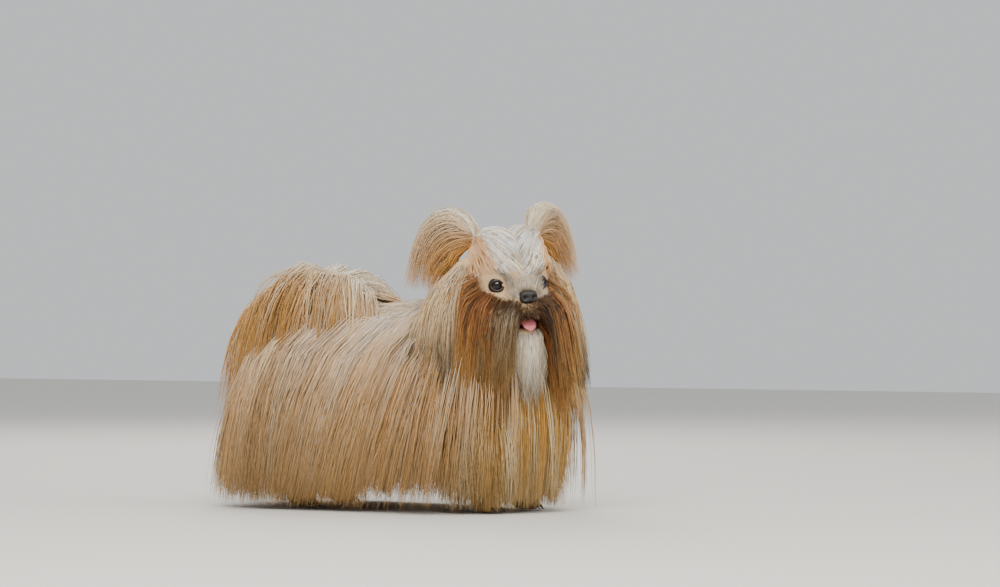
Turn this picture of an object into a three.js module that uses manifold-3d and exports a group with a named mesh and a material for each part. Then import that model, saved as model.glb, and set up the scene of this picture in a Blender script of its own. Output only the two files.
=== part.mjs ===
// A life-size shih tzu in full show coat, standing with its head turned to its right.
// Millimetres: X runs forward, Y to the dog's left and Z up from the floor that the paws stand on.
// The flesh is a set of round masses. The long coat is made of flat, tapered locks that grow in rows,
// lie over those masses in layers and fall to just above the floor.
import * as THREE from "three";
import { mergeVertices } from "three/addons/utils/BufferGeometryUtils.js";
import Module from "manifold-3d";

const wasm = await Module();
wasm.setup();

// Driving sizes of the dog under its coat
const RIB_X = 82;
const RUMP_X = -128;
const BACK_AXIS_Z = 186;
const HALF_WIDTH = 61;
const FRONT_PAW_X = 130;
const HIND_PAW_X = -162;
const PAW_Y = 46;
const SKULL = [161, -28, 300];
const HEAD_TURN = -37;
const HEAD_TILT = 3.5;
const EYE = [31.5, 27.5, -6];
const EYE_RADIUS = 10.5;
const KNOT = [-7, 37, 53];
const CHEST_CUT_X = 118;

// Sizes of the coat: how far each layer keeps off the flesh, and its thickness
const GAP = 0.3;
const GROWTH = 0.5;
const FLOOR_CLEARANCE = 3;
const UNDER_COAT = 4.5;
const SIDE_COAT = 10.5;
const TOP_COAT = 17;
const NECK_COAT = 25.5;
const TAIL_COAT = 27;
const EAR_COAT = 34;
const BEARD_COAT = 32;
const FLARE = 0.03;
const LEG_COAT_RADIUS = 30;
// A lock's shape: its thickness as a share of its width, its roll in degrees, its width from root
// to tip as a share of the widest, and how far its root is sunk
const LOCK_THICKNESS = 0.13;
const LOCK_ROLL = 4;
const lockWidth = (t) => Math.min(1, 0.6 + 1.5 * t) * (1 + 0.3 * t - 0.5 * t ** 4);
const ROOT_DEPTH = 6;

let seed = 20;
function random() {
  seed = (seed * 1664525 + 1013904223) % 4294967296;
  return seed / 4294967296;
}
const vary = (amount) => (random() * 2 - 1) * amount;
const radians = THREE.MathUtils.degToRad;
const mix = THREE.MathUtils.lerp;
const point = (p) => (p.isVector3 ? p.clone() : new THREE.Vector3(...p));
const onSide = (p, side) => [p[0], p[1] * side, p[2]];
const sides = { right: -1, left: 1 };

// The head's own frame: forward, left and up from the middle of the skull
const turnAbout = (axis, angle) => new THREE.Quaternion().setFromAxisAngle(point(axis), radians(angle));
const headFrame = new THREE.Matrix4().compose(
  point(SKULL),
  turnAbout([0, 0, 1], HEAD_TURN).multiply(turnAbout([1, 0, 0], HEAD_TILT)),
  new THREE.Vector3(1, 1, 1),
);
const bodyFrame = new THREE.Matrix4();
const fromHead = (p) => point(p).applyMatrix4(headFrame);
const headWay = (d) => point(d).transformDirection(headFrame);

// A round mass is an ellipsoid in one of the frames. A limb is a chain of joints [x, y, z, radius].
const mass = (at, radii, frame = bodyFrame) => ({ at: point(at), radii: point(radii), frame, back: frame.clone().invert() });
const headMass = (at, radii) => mass(at, radii, headFrame);
const limb = (joints) => ({ joints });

const trunk = [
  mass([RIB_X, 0, 181], [100, HALF_WIDTH, 68]),
  mass([-30, 0, 188], [120, HALF_WIDTH - 5, 58]),
  mass([RUMP_X, 0, 184], [70, HALF_WIDTH, 60]),
];
const neckJoints = [[92, 0, 200, 50], [124, -8, 240, 49], [146, -20, 276, 45], [156, -26, 300, 38]];
const neckLimb = limb(neckJoints);
const cranium = headMass([0, 0, 4], [52, 50, 46]);
const muzzle = headMass([42, 0, -29], [29, 27, 17]);
const flews = [-1, 1].map((side) => headMass([51, 9.5 * side, -37], [16, 13, 10]));
const cheeks = [-1, 1].map((side) => headMass([20, 25 * side, -28], [25, 23, 26]));
const throat = headMass([5, 0, -42], [34, 34, 28]);
const chin = headMass([38, 0, -67], [27, 21, 10]);
const headFlesh = [cranium, muzzle, ...flews, ...cheeks, throat];
const faceForms = [...headFlesh, chin];

const frontLegJoints = (side) => [
  [112, 42 * side, 146, 25], [108, PAW_Y * side, 108, 20], [124, PAW_Y * side, 62, 14], [FRONT_PAW_X, PAW_Y * side, 16, 13],
];
const hindLegJoints = (side) => [
  [-134, 38 * side, 150, 32], [-124, 47 * side, 102, 24], [-168, PAW_Y * side, 58, 13], [HIND_PAW_X, PAW_Y * side, 16, 12],
];
const legColumns = [FRONT_PAW_X, HIND_PAW_X].flatMap((x) => [-1, 1].map((side) => limb([
  [x - 4, PAW_Y * side, 120, LEG_COAT_RADIUS], [x, PAW_Y * side, 0, LEG_COAT_RADIUS],
])));
const bodyForms = [...trunk, ...legColumns];
const bodyAndNeck = [...bodyForms, neckLimb];

// How far a point is outside a mass or a limb
function outside(form, p) {
  if (form.joints) {
    let least = Infinity;
    for (let i = 1; i < form.joints.length; i += 1) {
      const [a, b] = [form.joints[i - 1], form.joints[i]];
      const start = new THREE.Vector3(a[0], a[1], a[2]);
      const along = new THREE.Vector3(b[0], b[1], b[2]).sub(start);
      const t = THREE.MathUtils.clamp(p.clone().sub(start).dot(along) / along.lengthSq(), 0, 1);
      least = Math.min(least, start.addScaledVector(along, t).distanceTo(p) - mix(a[3], b[3], t));
    }
    return least;
  }
  const q = p.clone().applyMatrix4(form.back).sub(form.at).divide(form.radii);
  const size = q.length();
  return (size * (size - 1)) / Math.max(q.divide(form.radii).length(), 1e-9);
}
// How far a point is outside several forms that melt into each other over a fillet
const FILLET = 26;
function clearance(forms, p) {
  let total = Infinity;
  for (const form of forms) {
    const d = outside(form, p);
    const share = Math.max(FILLET - Math.abs(total - d), 0) / FILLET;
    total = Math.min(total, d) - (total === Infinity ? 0 : share * share * FILLET * 0.25);
  }
  return total;
}
function outward(forms, p) {
  const step = 0.5;
  return new THREE.Vector3(...["x", "y", "z"].map((axis) => {
    const ahead = p.clone();
    const behind = p.clone();
    ahead[axis] += step;
    behind[axis] -= step;
    return clearance(forms, ahead) - clearance(forms, behind);
  })).normalize();
}
// The point on the forms' surface that is met first on the way in from far outside
function onSurface(forms, from, way) {
  const direction = point(way).normalize();
  const p = point(from).addScaledVector(direction, 200);
  for (let i = 0; i < 60; i += 1) p.addScaledVector(direction, -clearance(forms, p) * 0.8);
  return p;
}

// A lock's line is a list of places, each with the way out of the coat there. It leaves its root
// along the lie, bends towards its fall, keeps each layer's depth off the forms below it, and ends
// at its length or just above the floor.
function fallingLine({ root, skin, lie, fall, length, rests, points = 5, stiffness = 0.86, rise = 45 }) {
  const fineSteps = 36;
  const step = (length * (1 + vary(0.05))) / fineSteps;
  const down = point(fall).normalize();
  const way = point(lie).normalize();
  const p = point(root);
  const fine = [p.clone()];
  for (let i = 1; i <= fineSteps; i += 1) {
    way.multiplyScalar(stiffness).addScaledVector(down, 1 - stiffness).normalize();
    const before = p.clone();
    p.addScaledVector(way, step);
    for (const [forms, depth] of rests) {
      const lack = depth * Math.min(1, 0.2 + (i * step) / rise) - clearance(forms, p);
      if (lack > 0) p.addScaledVector(outward(forms, p), lack);
    }
    way.copy(p).sub(before).normalize();
    if (p.z < FLOOR_CLEARANCE) break;
    fine.push(p.clone());
  }
  const forms = rests.flatMap(([each]) => each);
  const rootWay = outward(skin, fine[0]);
  const line = [{ p: fine[0].clone().addScaledVector(rootWay, -ROOT_DEPTH), n: rootWay }];
  for (let i = 0; i < points; i += 1) {
    const even = (i + 0.3) / (points - 0.7);
    const at = (fine.length - 1) * (even + 0.16 * even * Math.sin(Math.PI * even));
    const low = Math.floor(at);
    const p2 = fine[low].clone().lerp(fine[Math.min(low + 1, fine.length - 1)], at - low);
    line.push({ p: p2, n: outward(forms, p2) });
  }
  return line;
}

// A lock drawn up over the skull to a tied knot
const DRAWN_POINTS = 4;
function drawnLine(root, knot) {
  const start = point(root);
  const way = outward([cranium], start);
  const line = [{ p: start.clone().addScaledVector(way, -ROOT_DEPTH), n: way }];
  for (let i = 0; i < DRAWN_POINTS; i += 1) {
    const p = start.clone().lerp(knot, i / (DRAWN_POINTS - 1));
    const lack = 3 * Math.min(1, i) - clearance([cranium], p);
    if (lack > 0) p.addScaledVector(outward([cranium], p), lack);
    line.push({ p, n: outward([cranium], p) });
  }
  return line;
}

// Turns a closed geometry into a solid for cutting and joining, with its faces pointing out
function solidOf(geometry) {
  const plain = geometry.clone();
  plain.deleteAttribute("normal");
  plain.deleteAttribute("uv");
  const merged = mergeVertices(plain, 1e-4);
  const triVerts = new Uint32Array(merged.index.array);
  const make = () => new wasm.Manifold(new wasm.Mesh({ numProp: 3, vertProperties: merged.attributes.position.array, triVerts }));
  const solid = make();
  if (solid.volume() >= 0) return solid;
  for (let i = 0; i < triVerts.length; i += 3) [triVerts[i + 1], triVerts[i + 2]] = [triVerts[i + 2], triVerts[i + 1]];
  return make();
}

// Joins rings of points into a closed body. An end ring may be a single point.
function loft(rings) {
  const around = rings[1].length;
  const starts = rings.map((_, i) => rings.slice(0, i).reduce((sum, ring) => sum + ring.length, 0));
  const faces = [];
  for (let i = 1; i < rings.length; i += 1) {
    const [a, b] = [starts[i - 1], starts[i]];
    for (let j = 0; j < around; j += 1) {
      const k = (j + 1) % around;
      if (rings[i - 1].length === 1) faces.push([a, b + k, b + j]);
      else if (rings[i].length === 1) faces.push([a + j, a + k, b]);
      else faces.push([a + j, a + k, b + k], [a + j, b + k, b + j]);
    }
  }
  const close = (ring, start, order) => {
    for (let j = 1; j < ring.length - 1; j += 1) faces.push([start, start + j + order[0], start + j + order[1]]);
  };
  close(rings[0], starts[0], [1, 0]);
  close(rings.at(-1), starts.at(-1), [0, 1]);
  const geometry = new THREE.BufferGeometry().setFromPoints(rings.flat());
  geometry.setIndex(faces.flat());
  return solidOf(geometry);
}

// Solids of the forms, grown by a margin where they cut a neighbour
function ball(form, grow = 0, around = 14) {
  const geometry = new THREE.SphereGeometry(1, around, Math.round(around * 0.65));
  geometry.rotateX(Math.PI / 2);
  geometry.scale(form.radii.x + grow, form.radii.y + grow, form.radii.z + grow);
  geometry.translate(form.at.x, form.at.y, form.at.z);
  geometry.applyMatrix4(form.frame);
  return solidOf(geometry);
}
// A round or flattened tube through joints, with domed ends
function tube(joints, { grow = 0, around = 10, steps = 7, flat = 1 } = {}) {
  const curve = new THREE.CatmullRomCurve3(joints.map((j) => new THREE.Vector3(j[0], j[1], j[2])));
  const radiusAt = (t) => {
    const at = t * (joints.length - 1);
    const low = Math.min(Math.floor(at), joints.length - 2);
    return mix(joints[low][3], joints[low + 1][3], at - low);
  };
  const frames = curve.computeFrenetFrames(steps, false);
  const rings = Array.from({ length: steps + 1 }, (_, i) => {
    const radius = radiusAt(i / steps);
    return Array.from({ length: around }, (_unused, j) => {
      const angle = (j / around) * Math.PI * 2;
      return curve.getPoint(i / steps)
        .addScaledVector(frames.normals[i], Math.cos(angle) * (radius * flat + grow))
        .addScaledVector(frames.binormals[i], Math.sin(angle) * (radius + grow));
    });
  });
  const end = (t, way) => curve.getPoint(t).addScaledVector(curve.getTangent(t), way * (0.5 * radiusAt(t) + grow));
  return loft([[end(0, -1)], ...rings, [end(1, 1)]]);
}
// A flat, tapered lock along a line: two edges and an outer ridge, rolled so that neighbours overlap
function lock(line, width, grow) {
  const rings = line.slice(0, -1).map(({ p, n }, i) => {
    const along = line[i + 1].p.clone().sub(line[Math.max(i - 1, 0)].p).normalize();
    const across = along.clone().cross(n).normalize().applyAxisAngle(along, radians(LOCK_ROLL));
    const out = across.clone().cross(along);
    const here = width * lockWidth(i / (line.length - 2));
    const half = here / 2 + grow * 2;
    const ridge = here * LOCK_THICKNESS + grow;
    return [[-half, -grow], [0, ridge], [half, -grow]].map(([side, height]) => (
      p.clone().addScaledVector(across, side).addScaledVector(out, height)));
  });
  const tip = line.at(-1).p.clone().addScaledVector(line.at(-1).p.clone().sub(line.at(-2).p).normalize(), grow * 4);
  return loft([...rings, [tip]]);
}
const coat = (lines, width, grow) => lines.map((line) => lock(line, width * (1 + vary(0.06)), grow));
// One smooth sheet of coat through a row of lines, thickest at its roots
const SHEET_THICKNESS = 6;
function curtain(lines, grow) {
  const last = lines.length - 1;
  const rings = lines.map((line, row) => {
    const beside = row === 0 ? lines[1] : lines[row - 1];
    const face = (outer) => line.map(({ p, n }, i) => {
      const thickness = SHEET_THICKNESS * (1 - (0.6 * i) / (line.length - 1));
      const place = p.clone().addScaledVector(n, outer ? thickness + grow : -grow);
      if (row === 0 || row === last) place.addScaledVector(p.clone().sub(beside[i].p).normalize(), grow);
      if (i === line.length - 1) place.addScaledVector(p.clone().sub(line[i - 1].p).normalize(), grow);
      return place;
    });
    return [...face(false), ...face(true).toReversed()];
  });
  const around = rings[0].length;
  const faces = [];
  for (let i = 1; i < rings.length; i += 1) {
    for (let j = 0; j < around; j += 1) {
      const [a, b, k] = [(i - 1) * around, i * around, (j + 1) % around];
      faces.push([a + j, a + k, b + k], [a + j, b + k, b + j]);
    }
  }
  for (const [start, order] of [[0, [0, 2, 1, 0, 3, 2]], [last * around, [0, 1, 2, 0, 2, 3]]]) {
    for (let j = 0; j < around / 2 - 1; j += 1) {
      const quad = [j, j + 1, around - 2 - j, around - 1 - j];
      faces.push(order.map((corner) => start + quad[corner]));
    }
  }
  const geometry = new THREE.BufferGeometry().setFromPoints(rings.flat());
  geometry.setIndex(faces.flat());
  return solidOf(geometry);
}
const unite = (solids) => wasm.Manifold.union(solids);
function box(low, high) {
  const size = point(high).sub(point(low));
  const middle = point(low).addScaledVector(size, 0.5);
  return solidOf(new THREE.BoxGeometry(size.x, size.y, size.z).translate(middle.x, middle.y, middle.z));
}
const FAR = 500;
const trunkSolid = (grow = 0) => unite(trunk.map((form) => ball(form, grow, 18)));

// The torso's coat parts along the spine and sweeps back as it falls down each side and round the
// rump. It is one smooth sheet out to its tips.
const torsoRoot = (x, angle, side) => onSurface(trunk, [x, 0, BACK_AXIS_Z], [0, side * Math.sin(radians(angle)), Math.cos(radians(angle))]);
function rumpRoot(turnBack, angle, side) {
  const flat = Math.sin(radians(angle));
  const way = [-flat * Math.sin(radians(turnBack)), side * flat * Math.cos(radians(turnBack)), Math.cos(radians(angle))];
  return onSurface(trunk, [RUMP_X, 0, BACK_AXIS_Z], way);
}
function torsoLine(root, side, depth, length, sweep) {
  const middle = THREE.MathUtils.clamp(root.x, RUMP_X, RIB_X);
  const away = new THREE.Vector3(root.x - middle, root.y + 6 * side, 0).normalize();
  return fallingLine({
    root, skin: trunk, length, points: 7,
    lie: [away.x - 0.4, away.y, 0.1],
    fall: [away.x * FLARE - sweep, away.y * FLARE, -1],
    rests: [[bodyForms, depth]],
  });
}
const PART_ANGLE = 8;
const TORSO_LENGTH = 340;
const FLANK_LINES = 10;
const RUMP_TURNS = [16, 36, 56, 74, 88];
function torsoRow(side) {
  const flank = Array.from({ length: FLANK_LINES }, (_, i) => {
    const back = i / (FLANK_LINES - 1);
    const root = torsoRoot(mix(CHEST_CUT_X - 4, RUMP_X + 10, back), PART_ANGLE, side);
    return torsoLine(root, side, TOP_COAT, TORSO_LENGTH, mix(0.02, 0.14, back));
  });
  const rear = RUMP_TURNS.map((turn) => torsoLine(rumpRoot(turn, 32, side), side, TOP_COAT, TORSO_LENGTH, 0.04));
  return [...flank, ...rear];
}
function torso(side, grow) {
  const inner = side * (GAP / 2 - grow);
  const half = box([-FAR, Math.min(inner, side * FAR), -FAR], [CHEST_CUT_X - GAP + grow, Math.max(inner, side * FAR), FAR]);
  return unite([trunkSolid(grow), curtain(torsoRow(side), grow)]).intersect(half);
}

// The chest's coat falls in front of the forelegs.
function chestRow({ height, depth, length, spread, count }) {
  return Array.from({ length: count }, (_, i) => {
    const turn = radians(mix(-spread, spread, i / (count - 1)) + vary(3));
    const way = [Math.cos(turn), Math.sin(turn), 0];
    const root = onSurface(trunk, [CHEST_CUT_X + 2, 0, height], way);
    return fallingLine({
      root, skin: trunk, length,
      lie: [way[0], way[1], -0.3],
      fall: [way[0] * FLARE, way[1] * FLARE, -1],
      rests: [[bodyForms, depth]],
    });
  });
}
const CHEST_ROWS = [
  { height: 222, depth: TOP_COAT, length: 250, spread: 74, count: 6 },
  { height: 180, depth: SIDE_COAT, length: 200, spread: 62, count: 5 },
];
const CHEST_LOCK = 34;
function chest(grow) {
  const locks = CHEST_ROWS.flatMap((row) => coat(chestRow(row), CHEST_LOCK, grow));
  return unite([trunkSolid(grow), ...locks]).intersect(box([CHEST_CUT_X - grow, -FAR, -FAR], [FAR, FAR, FAR]));
}

// The neck's coat lies over the shoulders and the start of the back.
function neckRow({ height, depth, length, spread, count }) {
  return Array.from({ length: count }, (_, i) => {
    const turn = radians(mix(-spread, spread, i / (count - 1)) + vary(4) + 180 + HEAD_TURN / 3);
    const way = [Math.cos(turn), Math.sin(turn), 0.15];
    const root = onSurface([neckLimb], [134, -14, height], way);
    return fallingLine({
      root, skin: [neckLimb], length,
      lie: [way[0], way[1], -0.3],
      fall: [way[0] * 0.25, way[1] * 0.25, -1],
      rests: [[bodyAndNeck, depth]],
    });
  });
}
const NECK_ROWS = [
  { height: 262, depth: NECK_COAT, length: 160, spread: 118, count: 8 },
];
const NECK_LOCK = 33;
const neckFlesh = (grow = 0) => tube(neckJoints, { grow, around: 14, steps: 5 });
const neck = (grow) => unite([neckFlesh(grow), ...NECK_ROWS.flatMap((row) => coat(neckRow(row), NECK_LOCK, grow))]);

// Each leg has a paw with four toes, a flat sole, and locks that hang round its shank.
const LEG_LOCKS = 4;
const LEG_LOCK = 24;
function leg(joints, coatTop, grow) {
  const [x, y] = joints.at(-1);
  const toes = [-10.5, -3.6, 3.6, 10.5].map((across) => mass([x + 22 - Math.abs(across) * 0.5, y + across, 8], [9, 5, 8]));
  const paw = mass([x + 8, y, 11], [22, 16, 13]);
  const lines = Array.from({ length: LEG_LOCKS }, (_, i) => {
    const turn = ((i + 0.5) / LEG_LOCKS) * Math.PI * 2;
    const way = [Math.cos(turn), Math.sin(turn), 0];
    const root = onSurface([limb(joints)], [joints[1][0], joints[1][1], coatTop], way);
    return fallingLine({
      root, skin: [limb(joints)], points: 4, length: coatTop - 12, lie: [way[0], way[1], -1], fall: [way[0] * 0.06, way[1] * 0.06, -1],
      rests: [[[limb(joints), paw], 3.5]],
    });
  });
  const flesh = [tube(joints, { grow, around: 7, steps: 5 }), ball(paw, grow, 9), ...toes.map((toe) => ball(toe, grow, 6))];
  return unite([...flesh, ...coat(lines, LEG_LOCK, grow)]).intersect(box([-FAR, -FAR, 0], [FAR, FAR, FAR]));
}

// The tail rises from the croup, curls forward over the back and carries a plume.
const tailJoints = [
  [-168, 0, 220, 11], [-186, 0, 254, 10], [-174, -2, 288, 9], [-142, -6, 306, 8], [-108, -12, 302, 7], [-82, -18, 286, 5],
];
const TAIL_LOCK = 31;
function plumeRow(side, count, length) {
  const curve = new THREE.CatmullRomCurve3(tailJoints.map((j) => new THREE.Vector3(j[0], j[1], j[2])));
  return Array.from({ length: count }, (_, i) => {
    const t = mix(0.97, 0.14, i / (count - 1));
    const back = Math.max(0, 0.6 - t) * 1.7;
    const root = curve.getPoint(t).add(new THREE.Vector3(-6 * back, 4 * side, 5));
    return fallingLine({
      root, skin: [limb(tailJoints)], length,
      lie: [-0.3 - 1.2 * back + vary(0.15), side * (0.9 - 0.6 * back), 0.55],
      fall: [-0.14, side * 0.05, -1],
      rests: [[bodyForms, TAIL_COAT]],
    });
  });
}
function tail(grow) {
  const lines = [...plumeRow(-1, 5, 225), ...plumeRow(1, 4, 205)];
  return unite([tube(tailJoints, { grow, steps: 10, around: 8 }), ...coat(lines, TAIL_LOCK, grow)]);
}

// The face: lids round the eyes, lips, and coat drawn up to the knots or falling from the muzzle
const eyeAt = (side) => onSide(EYE, side);
const eyeSize = (grow) => [EYE_RADIUS + grow, EYE_RADIUS + grow, EYE_RADIUS + grow];
const LOOK_OUT = 20;
function lidOpening(side) {
  const look = [Math.cos(radians(LOOK_OUT)), side * Math.sin(radians(LOOK_OUT)), 0];
  const at = point(eyeAt(side)).addScaledVector(point(look), 9);
  const turned = headFrame.clone().multiply(new THREE.Matrix4().makeRotationZ(radians(LOOK_OUT * side)));
  const local = at.clone().applyMatrix4(headFrame).applyMatrix4(turned.clone().invert());
  return ball(mass(local, [9, 9.4, 7.2], turned), 0, 12);
}
const lipPath = (half, grow) => {
  const whole = [...half, ...half.slice(0, -1).toReversed().map(([u, v, w, r]) => [u, -v, w, r])];
  return tube(whole.map(([u, v, w, r]) => [...fromHead([u, v, w]).toArray(), r]), { grow, around: 6, steps: 10 });
};
const upperLip = (grow) => lipPath([[34, 27, -50, 1.6], [50, 22, -47, 2.2], [61, 12, -45.5, 2.4], [63, 0, -43, 2]], grow);
const lowerLip = (grow) => lipPath([[36, 20, -60, 1.6], [50, 16, -60.5, 2.2], [60, 8, -61.5, 2.4], [63, 0, -62, 2.2]], grow);

function faceLine(place, side, { lie, length, depth = 5, flare = 0.04, back = 0 }) {
  const root = onSurface(faceForms, fromHead([24, 0, -30]), headWay([place[0] - 24, place[1] * side, place[2] + 30]));
  return fallingLine({
    root, skin: faceForms, length, points: 4, stiffness: 0.7, rise: 20,
    lie: headWay([lie[0], lie[1] * side, lie[2]]),
    fall: headWay([-back, flare * side, -1]),
    rests: [[faceForms, depth], [bodyAndNeck, BEARD_COAT]],
  });
}
const SWEEP_LOCKS = 5;
const sweepUp = (side) => Array.from({ length: SWEEP_LOCKS }, (_, i) => {
  const turn = radians(mix(-75, 215, i / (SWEEP_LOCKS - 1)));
  const foot = [KNOT[0] + 32 * Math.cos(turn) + 4, (KNOT[1] - 10 - 26 * Math.sin(turn)) * side, 44 - 12 * Math.abs(Math.cos(turn))];
  const root = onSurface([cranium], fromHead([0, 0, 4]), headWay(foot));
  const tie = [KNOT[0] + 5 * Math.cos(turn), KNOT[1] - 5 * Math.sin(turn), KNOT[2]];
  return drawnLine(root, fromHead(onSide(tie, side)));
});
const moustacheRow = (side) => [[58, 9, -24], [48, 20, -26], [36, 30, -28]].map((place) => (
  faceLine(place, side, { lie: [0.1, 0.7, -0.5], length: 116, flare: 0.1 })));
const cheekRow = (side) => [[30, 38, -14], [15, 46, -9], [-1, 48, -4]].map((place) => (
  faceLine(place, side, { lie: [0, 0.8, -0.7], length: 140, flare: 0.14, depth: 8, back: 0.05 })));

const tongueJoints = [[32, 0, -51.5, 8.5], [48, 0, -51.5, 9], [59, 0, -53, 9], [66, 0, -57.5, 8.2], [69, 0, -62, 5]];
const tongue = (grow = 0) => tube(tongueJoints.map(([u, v, w, r]) => [...fromHead([u, v, w]).toArray(), r]), { grow, around: 10, flat: 0.27, steps: 8 });
const nosePad = headMass([68, 0, -22], [9, 12.5, 10]);
const nostrils = [-1, 1].map((side) => headMass([75.5, 5.6 * side, -23], [5, 2.6, 2.8]));
const nosePart = (grow = 0) => ball(nosePad, grow, 10);
const nose = (grow) => nosePart(grow).subtract(unite(nostrils.map((form) => ball(form, -grow, 8))));
const eye = (side, grow = 0) => ball(headMass(eyeAt(side), eyeSize(grow)), 0, 12);

const headSolid = (grow = 0) => unite(headFlesh.map((form) => ball(form, grow, form === cranium ? 16 : 11)));
const SWEEP_LOCK = 22;
const FACE_LOCK = 16;
function head(grow) {
  const lids = Object.values(sides).map((side) => ball(headMass(eyeAt(side), eyeSize(2.2)), grow, 14));
  const locks = Object.values(sides).flatMap((side) => [
    ...coat(sweepUp(side), SWEEP_LOCK, grow),
    ...coat([...moustacheRow(side), ...cheekRow(side)], FACE_LOCK, grow),
  ]);
  const sockets = Object.values(sides).flatMap((side) => [eye(side, GAP), lidOpening(side)]);
  const holes = unite([...sockets, nosePart(GAP), tongue(GAP)]);
  const whole = unite([headSolid(grow), ...lids, upperLip(grow), ...locks]);
  return grow ? whole : whole.subtract(holes);
}

// The lower jaw carries the beard.
const BEARD_LOCK = 10;
const beardRow = (ahead, spread, count, length) => Array.from({ length: count }, (_, i) => {
  const across = mix(-spread, spread, i / (count - 1));
  return faceLine([ahead - Math.abs(across) * 0.5, across, -72], 1, { lie: [0.4, across * 0.01, -0.8], length, depth: 3 });
});
function jaw(grow) {
  const locks = coat([...beardRow(62, 13, 3, 96), ...beardRow(48, 16, 4, 84)], BEARD_LOCK, grow);
  return unite([ball(chin, grow, 14), lowerLip(grow), ...locks]).subtract(unite([tongue(GAP), headSolid(GAP)]));
}

// Each ear is a hanging flap, hollowed on its inner side, with long coat falling from it.
function earFlap(side, grow) {
  const stations = [[-12, 42, 30, 15, 5], [-13, 58, 20, 21, 6], [-13, 65, -4, 24, 7], [-11, 67, -32, 22, 6], [-9, 69, -56, 12, 4]];
  const outline = [[-1, 0], [-0.5, 0.8], [0.5, 0.8], [1, 0], [0.5, 0.3], [-0.5, 0.3]];
  return loft(stations.map(([u, v, height, halfWidth, thickness], i) => {
    const w = height + (i === 0 ? grow : 0) - (i === stations.length - 1 ? grow : 0);
    return outline.map(([across, out]) => (
      fromHead([u + across * (halfWidth + grow), side * (v + (out - 0.5) * (thickness + grow * 3)), w])));
  }));
}
const EAR_ROWS = [{ height: 12, count: 3, length: 165, depth: EAR_COAT + 4 }, { height: -24, count: 3, length: 128, depth: EAR_COAT }];
const EAR_LOCK = 17;
const earLine = (side, { height, count, length, depth }, i) => {
  const across = mix(-18, 18, i / (count - 1)) + vary(1.5);
  const flap = headMass([-12, 62 * side, -14], [26, 7, 46]);
  const root = onSurface([flap], fromHead([-12 + across, 62 * side, height - Math.abs(across) * 0.4]), headWay([0, side, 0]));
  return fallingLine({
    root, skin: [flap], length, points: 4, stiffness: 0.8, rise: 20,
    lie: headWay([across * 0.01, 0.4 * side, -0.9]),
    fall: headWay([across * 0.005 - 0.1, 0.1 * side, -1]),
    rests: [[faceForms, 13], [[flap], 3], [bodyAndNeck, depth]],
  });
};
function ear(side, grow) {
  const lines = EAR_ROWS.flatMap((row) => Array.from({ length: row.count }, (_, i) => earLine(side, row, i)));
  return unite([earFlap(side, grow), ...coat(lines, EAR_LOCK, grow)]).subtract(headSolid(GAP));
}

// Each bunch springs from its knot, arches outwards and falls beside the head.
const bunchJoints = [[-6, 37, 52, 4], [-14, 45, 76, 9], [-30, 62, 88, 12], [-46, 82, 74, 12], [-56, 96, 40, 9], [-61, 104, -8, 4]];
const BUNCH_LOCKS = 4;
const BUNCH_LOCK = 25;
function bunch(side, grow) {
  const joints = bunchJoints.map(([u, v, w, r]) => [...fromHead([u, v * side, w]).toArray(), r * 0.6]);
  const curve = new THREE.CatmullRomCurve3(joints.map((j) => new THREE.Vector3(j[0], j[1], j[2])));
  const stops = [0.02, 0.18, 0.38, 0.58, 0.8, 1];
  const frames = curve.computeFrenetFrames(stops.length - 1, false);
  const lines = Array.from({ length: BUNCH_LOCKS }, (_, i) => {
    const turn = (i / BUNCH_LOCKS) * Math.PI * 2;
    const end = 0.86 + 0.14 * random();
    return stops.map((stop, k) => {
      const n = frames.normals[k].clone().multiplyScalar(Math.cos(turn)).addScaledVector(frames.binormals[k], Math.sin(turn));
      const spread = 3 + 14 * Math.sin(Math.min(stop * 1.3, 1) * Math.PI * 0.62);
      return { p: curve.getPoint(stop * end).addScaledVector(n, spread * (k === 0 ? 0.3 : 1)), n };
    });
  });
  return unite([tube(joints, { grow, around: 8, steps: 10 }), ...coat(lines, BUNCH_LOCK, grow)]);
}

const dog = new THREE.Group();
const finish = (color, roughness) => new THREE.MeshStandardMaterial({ color, roughness, metalness: 0 });
const creamCoat = finish(0xd9b88a, 0.85);
const goldCoat = finish(0xc98f4e, 0.85);
const paleCoat = finish(0xe8d9c4, 0.85);
const blackLeather = finish(0x15130f, 0.45);
const darkEye = finish(0x1a0f0a, 0.08);
const pinkTongue = finish(0xd66a72, 0.4);

// Adds a node: its solid, less the grown twins of the neighbours that it has to clear. Its twin is
// made with the same random draws. Only the largest closed piece is kept.
const UNION_DETAIL = 0.3;
const SMALLEST_EDGE = 0.05;
const largest = (solid) => solid.decompose().sort((a, b) => b.volume() - a.volume())[0];
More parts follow.
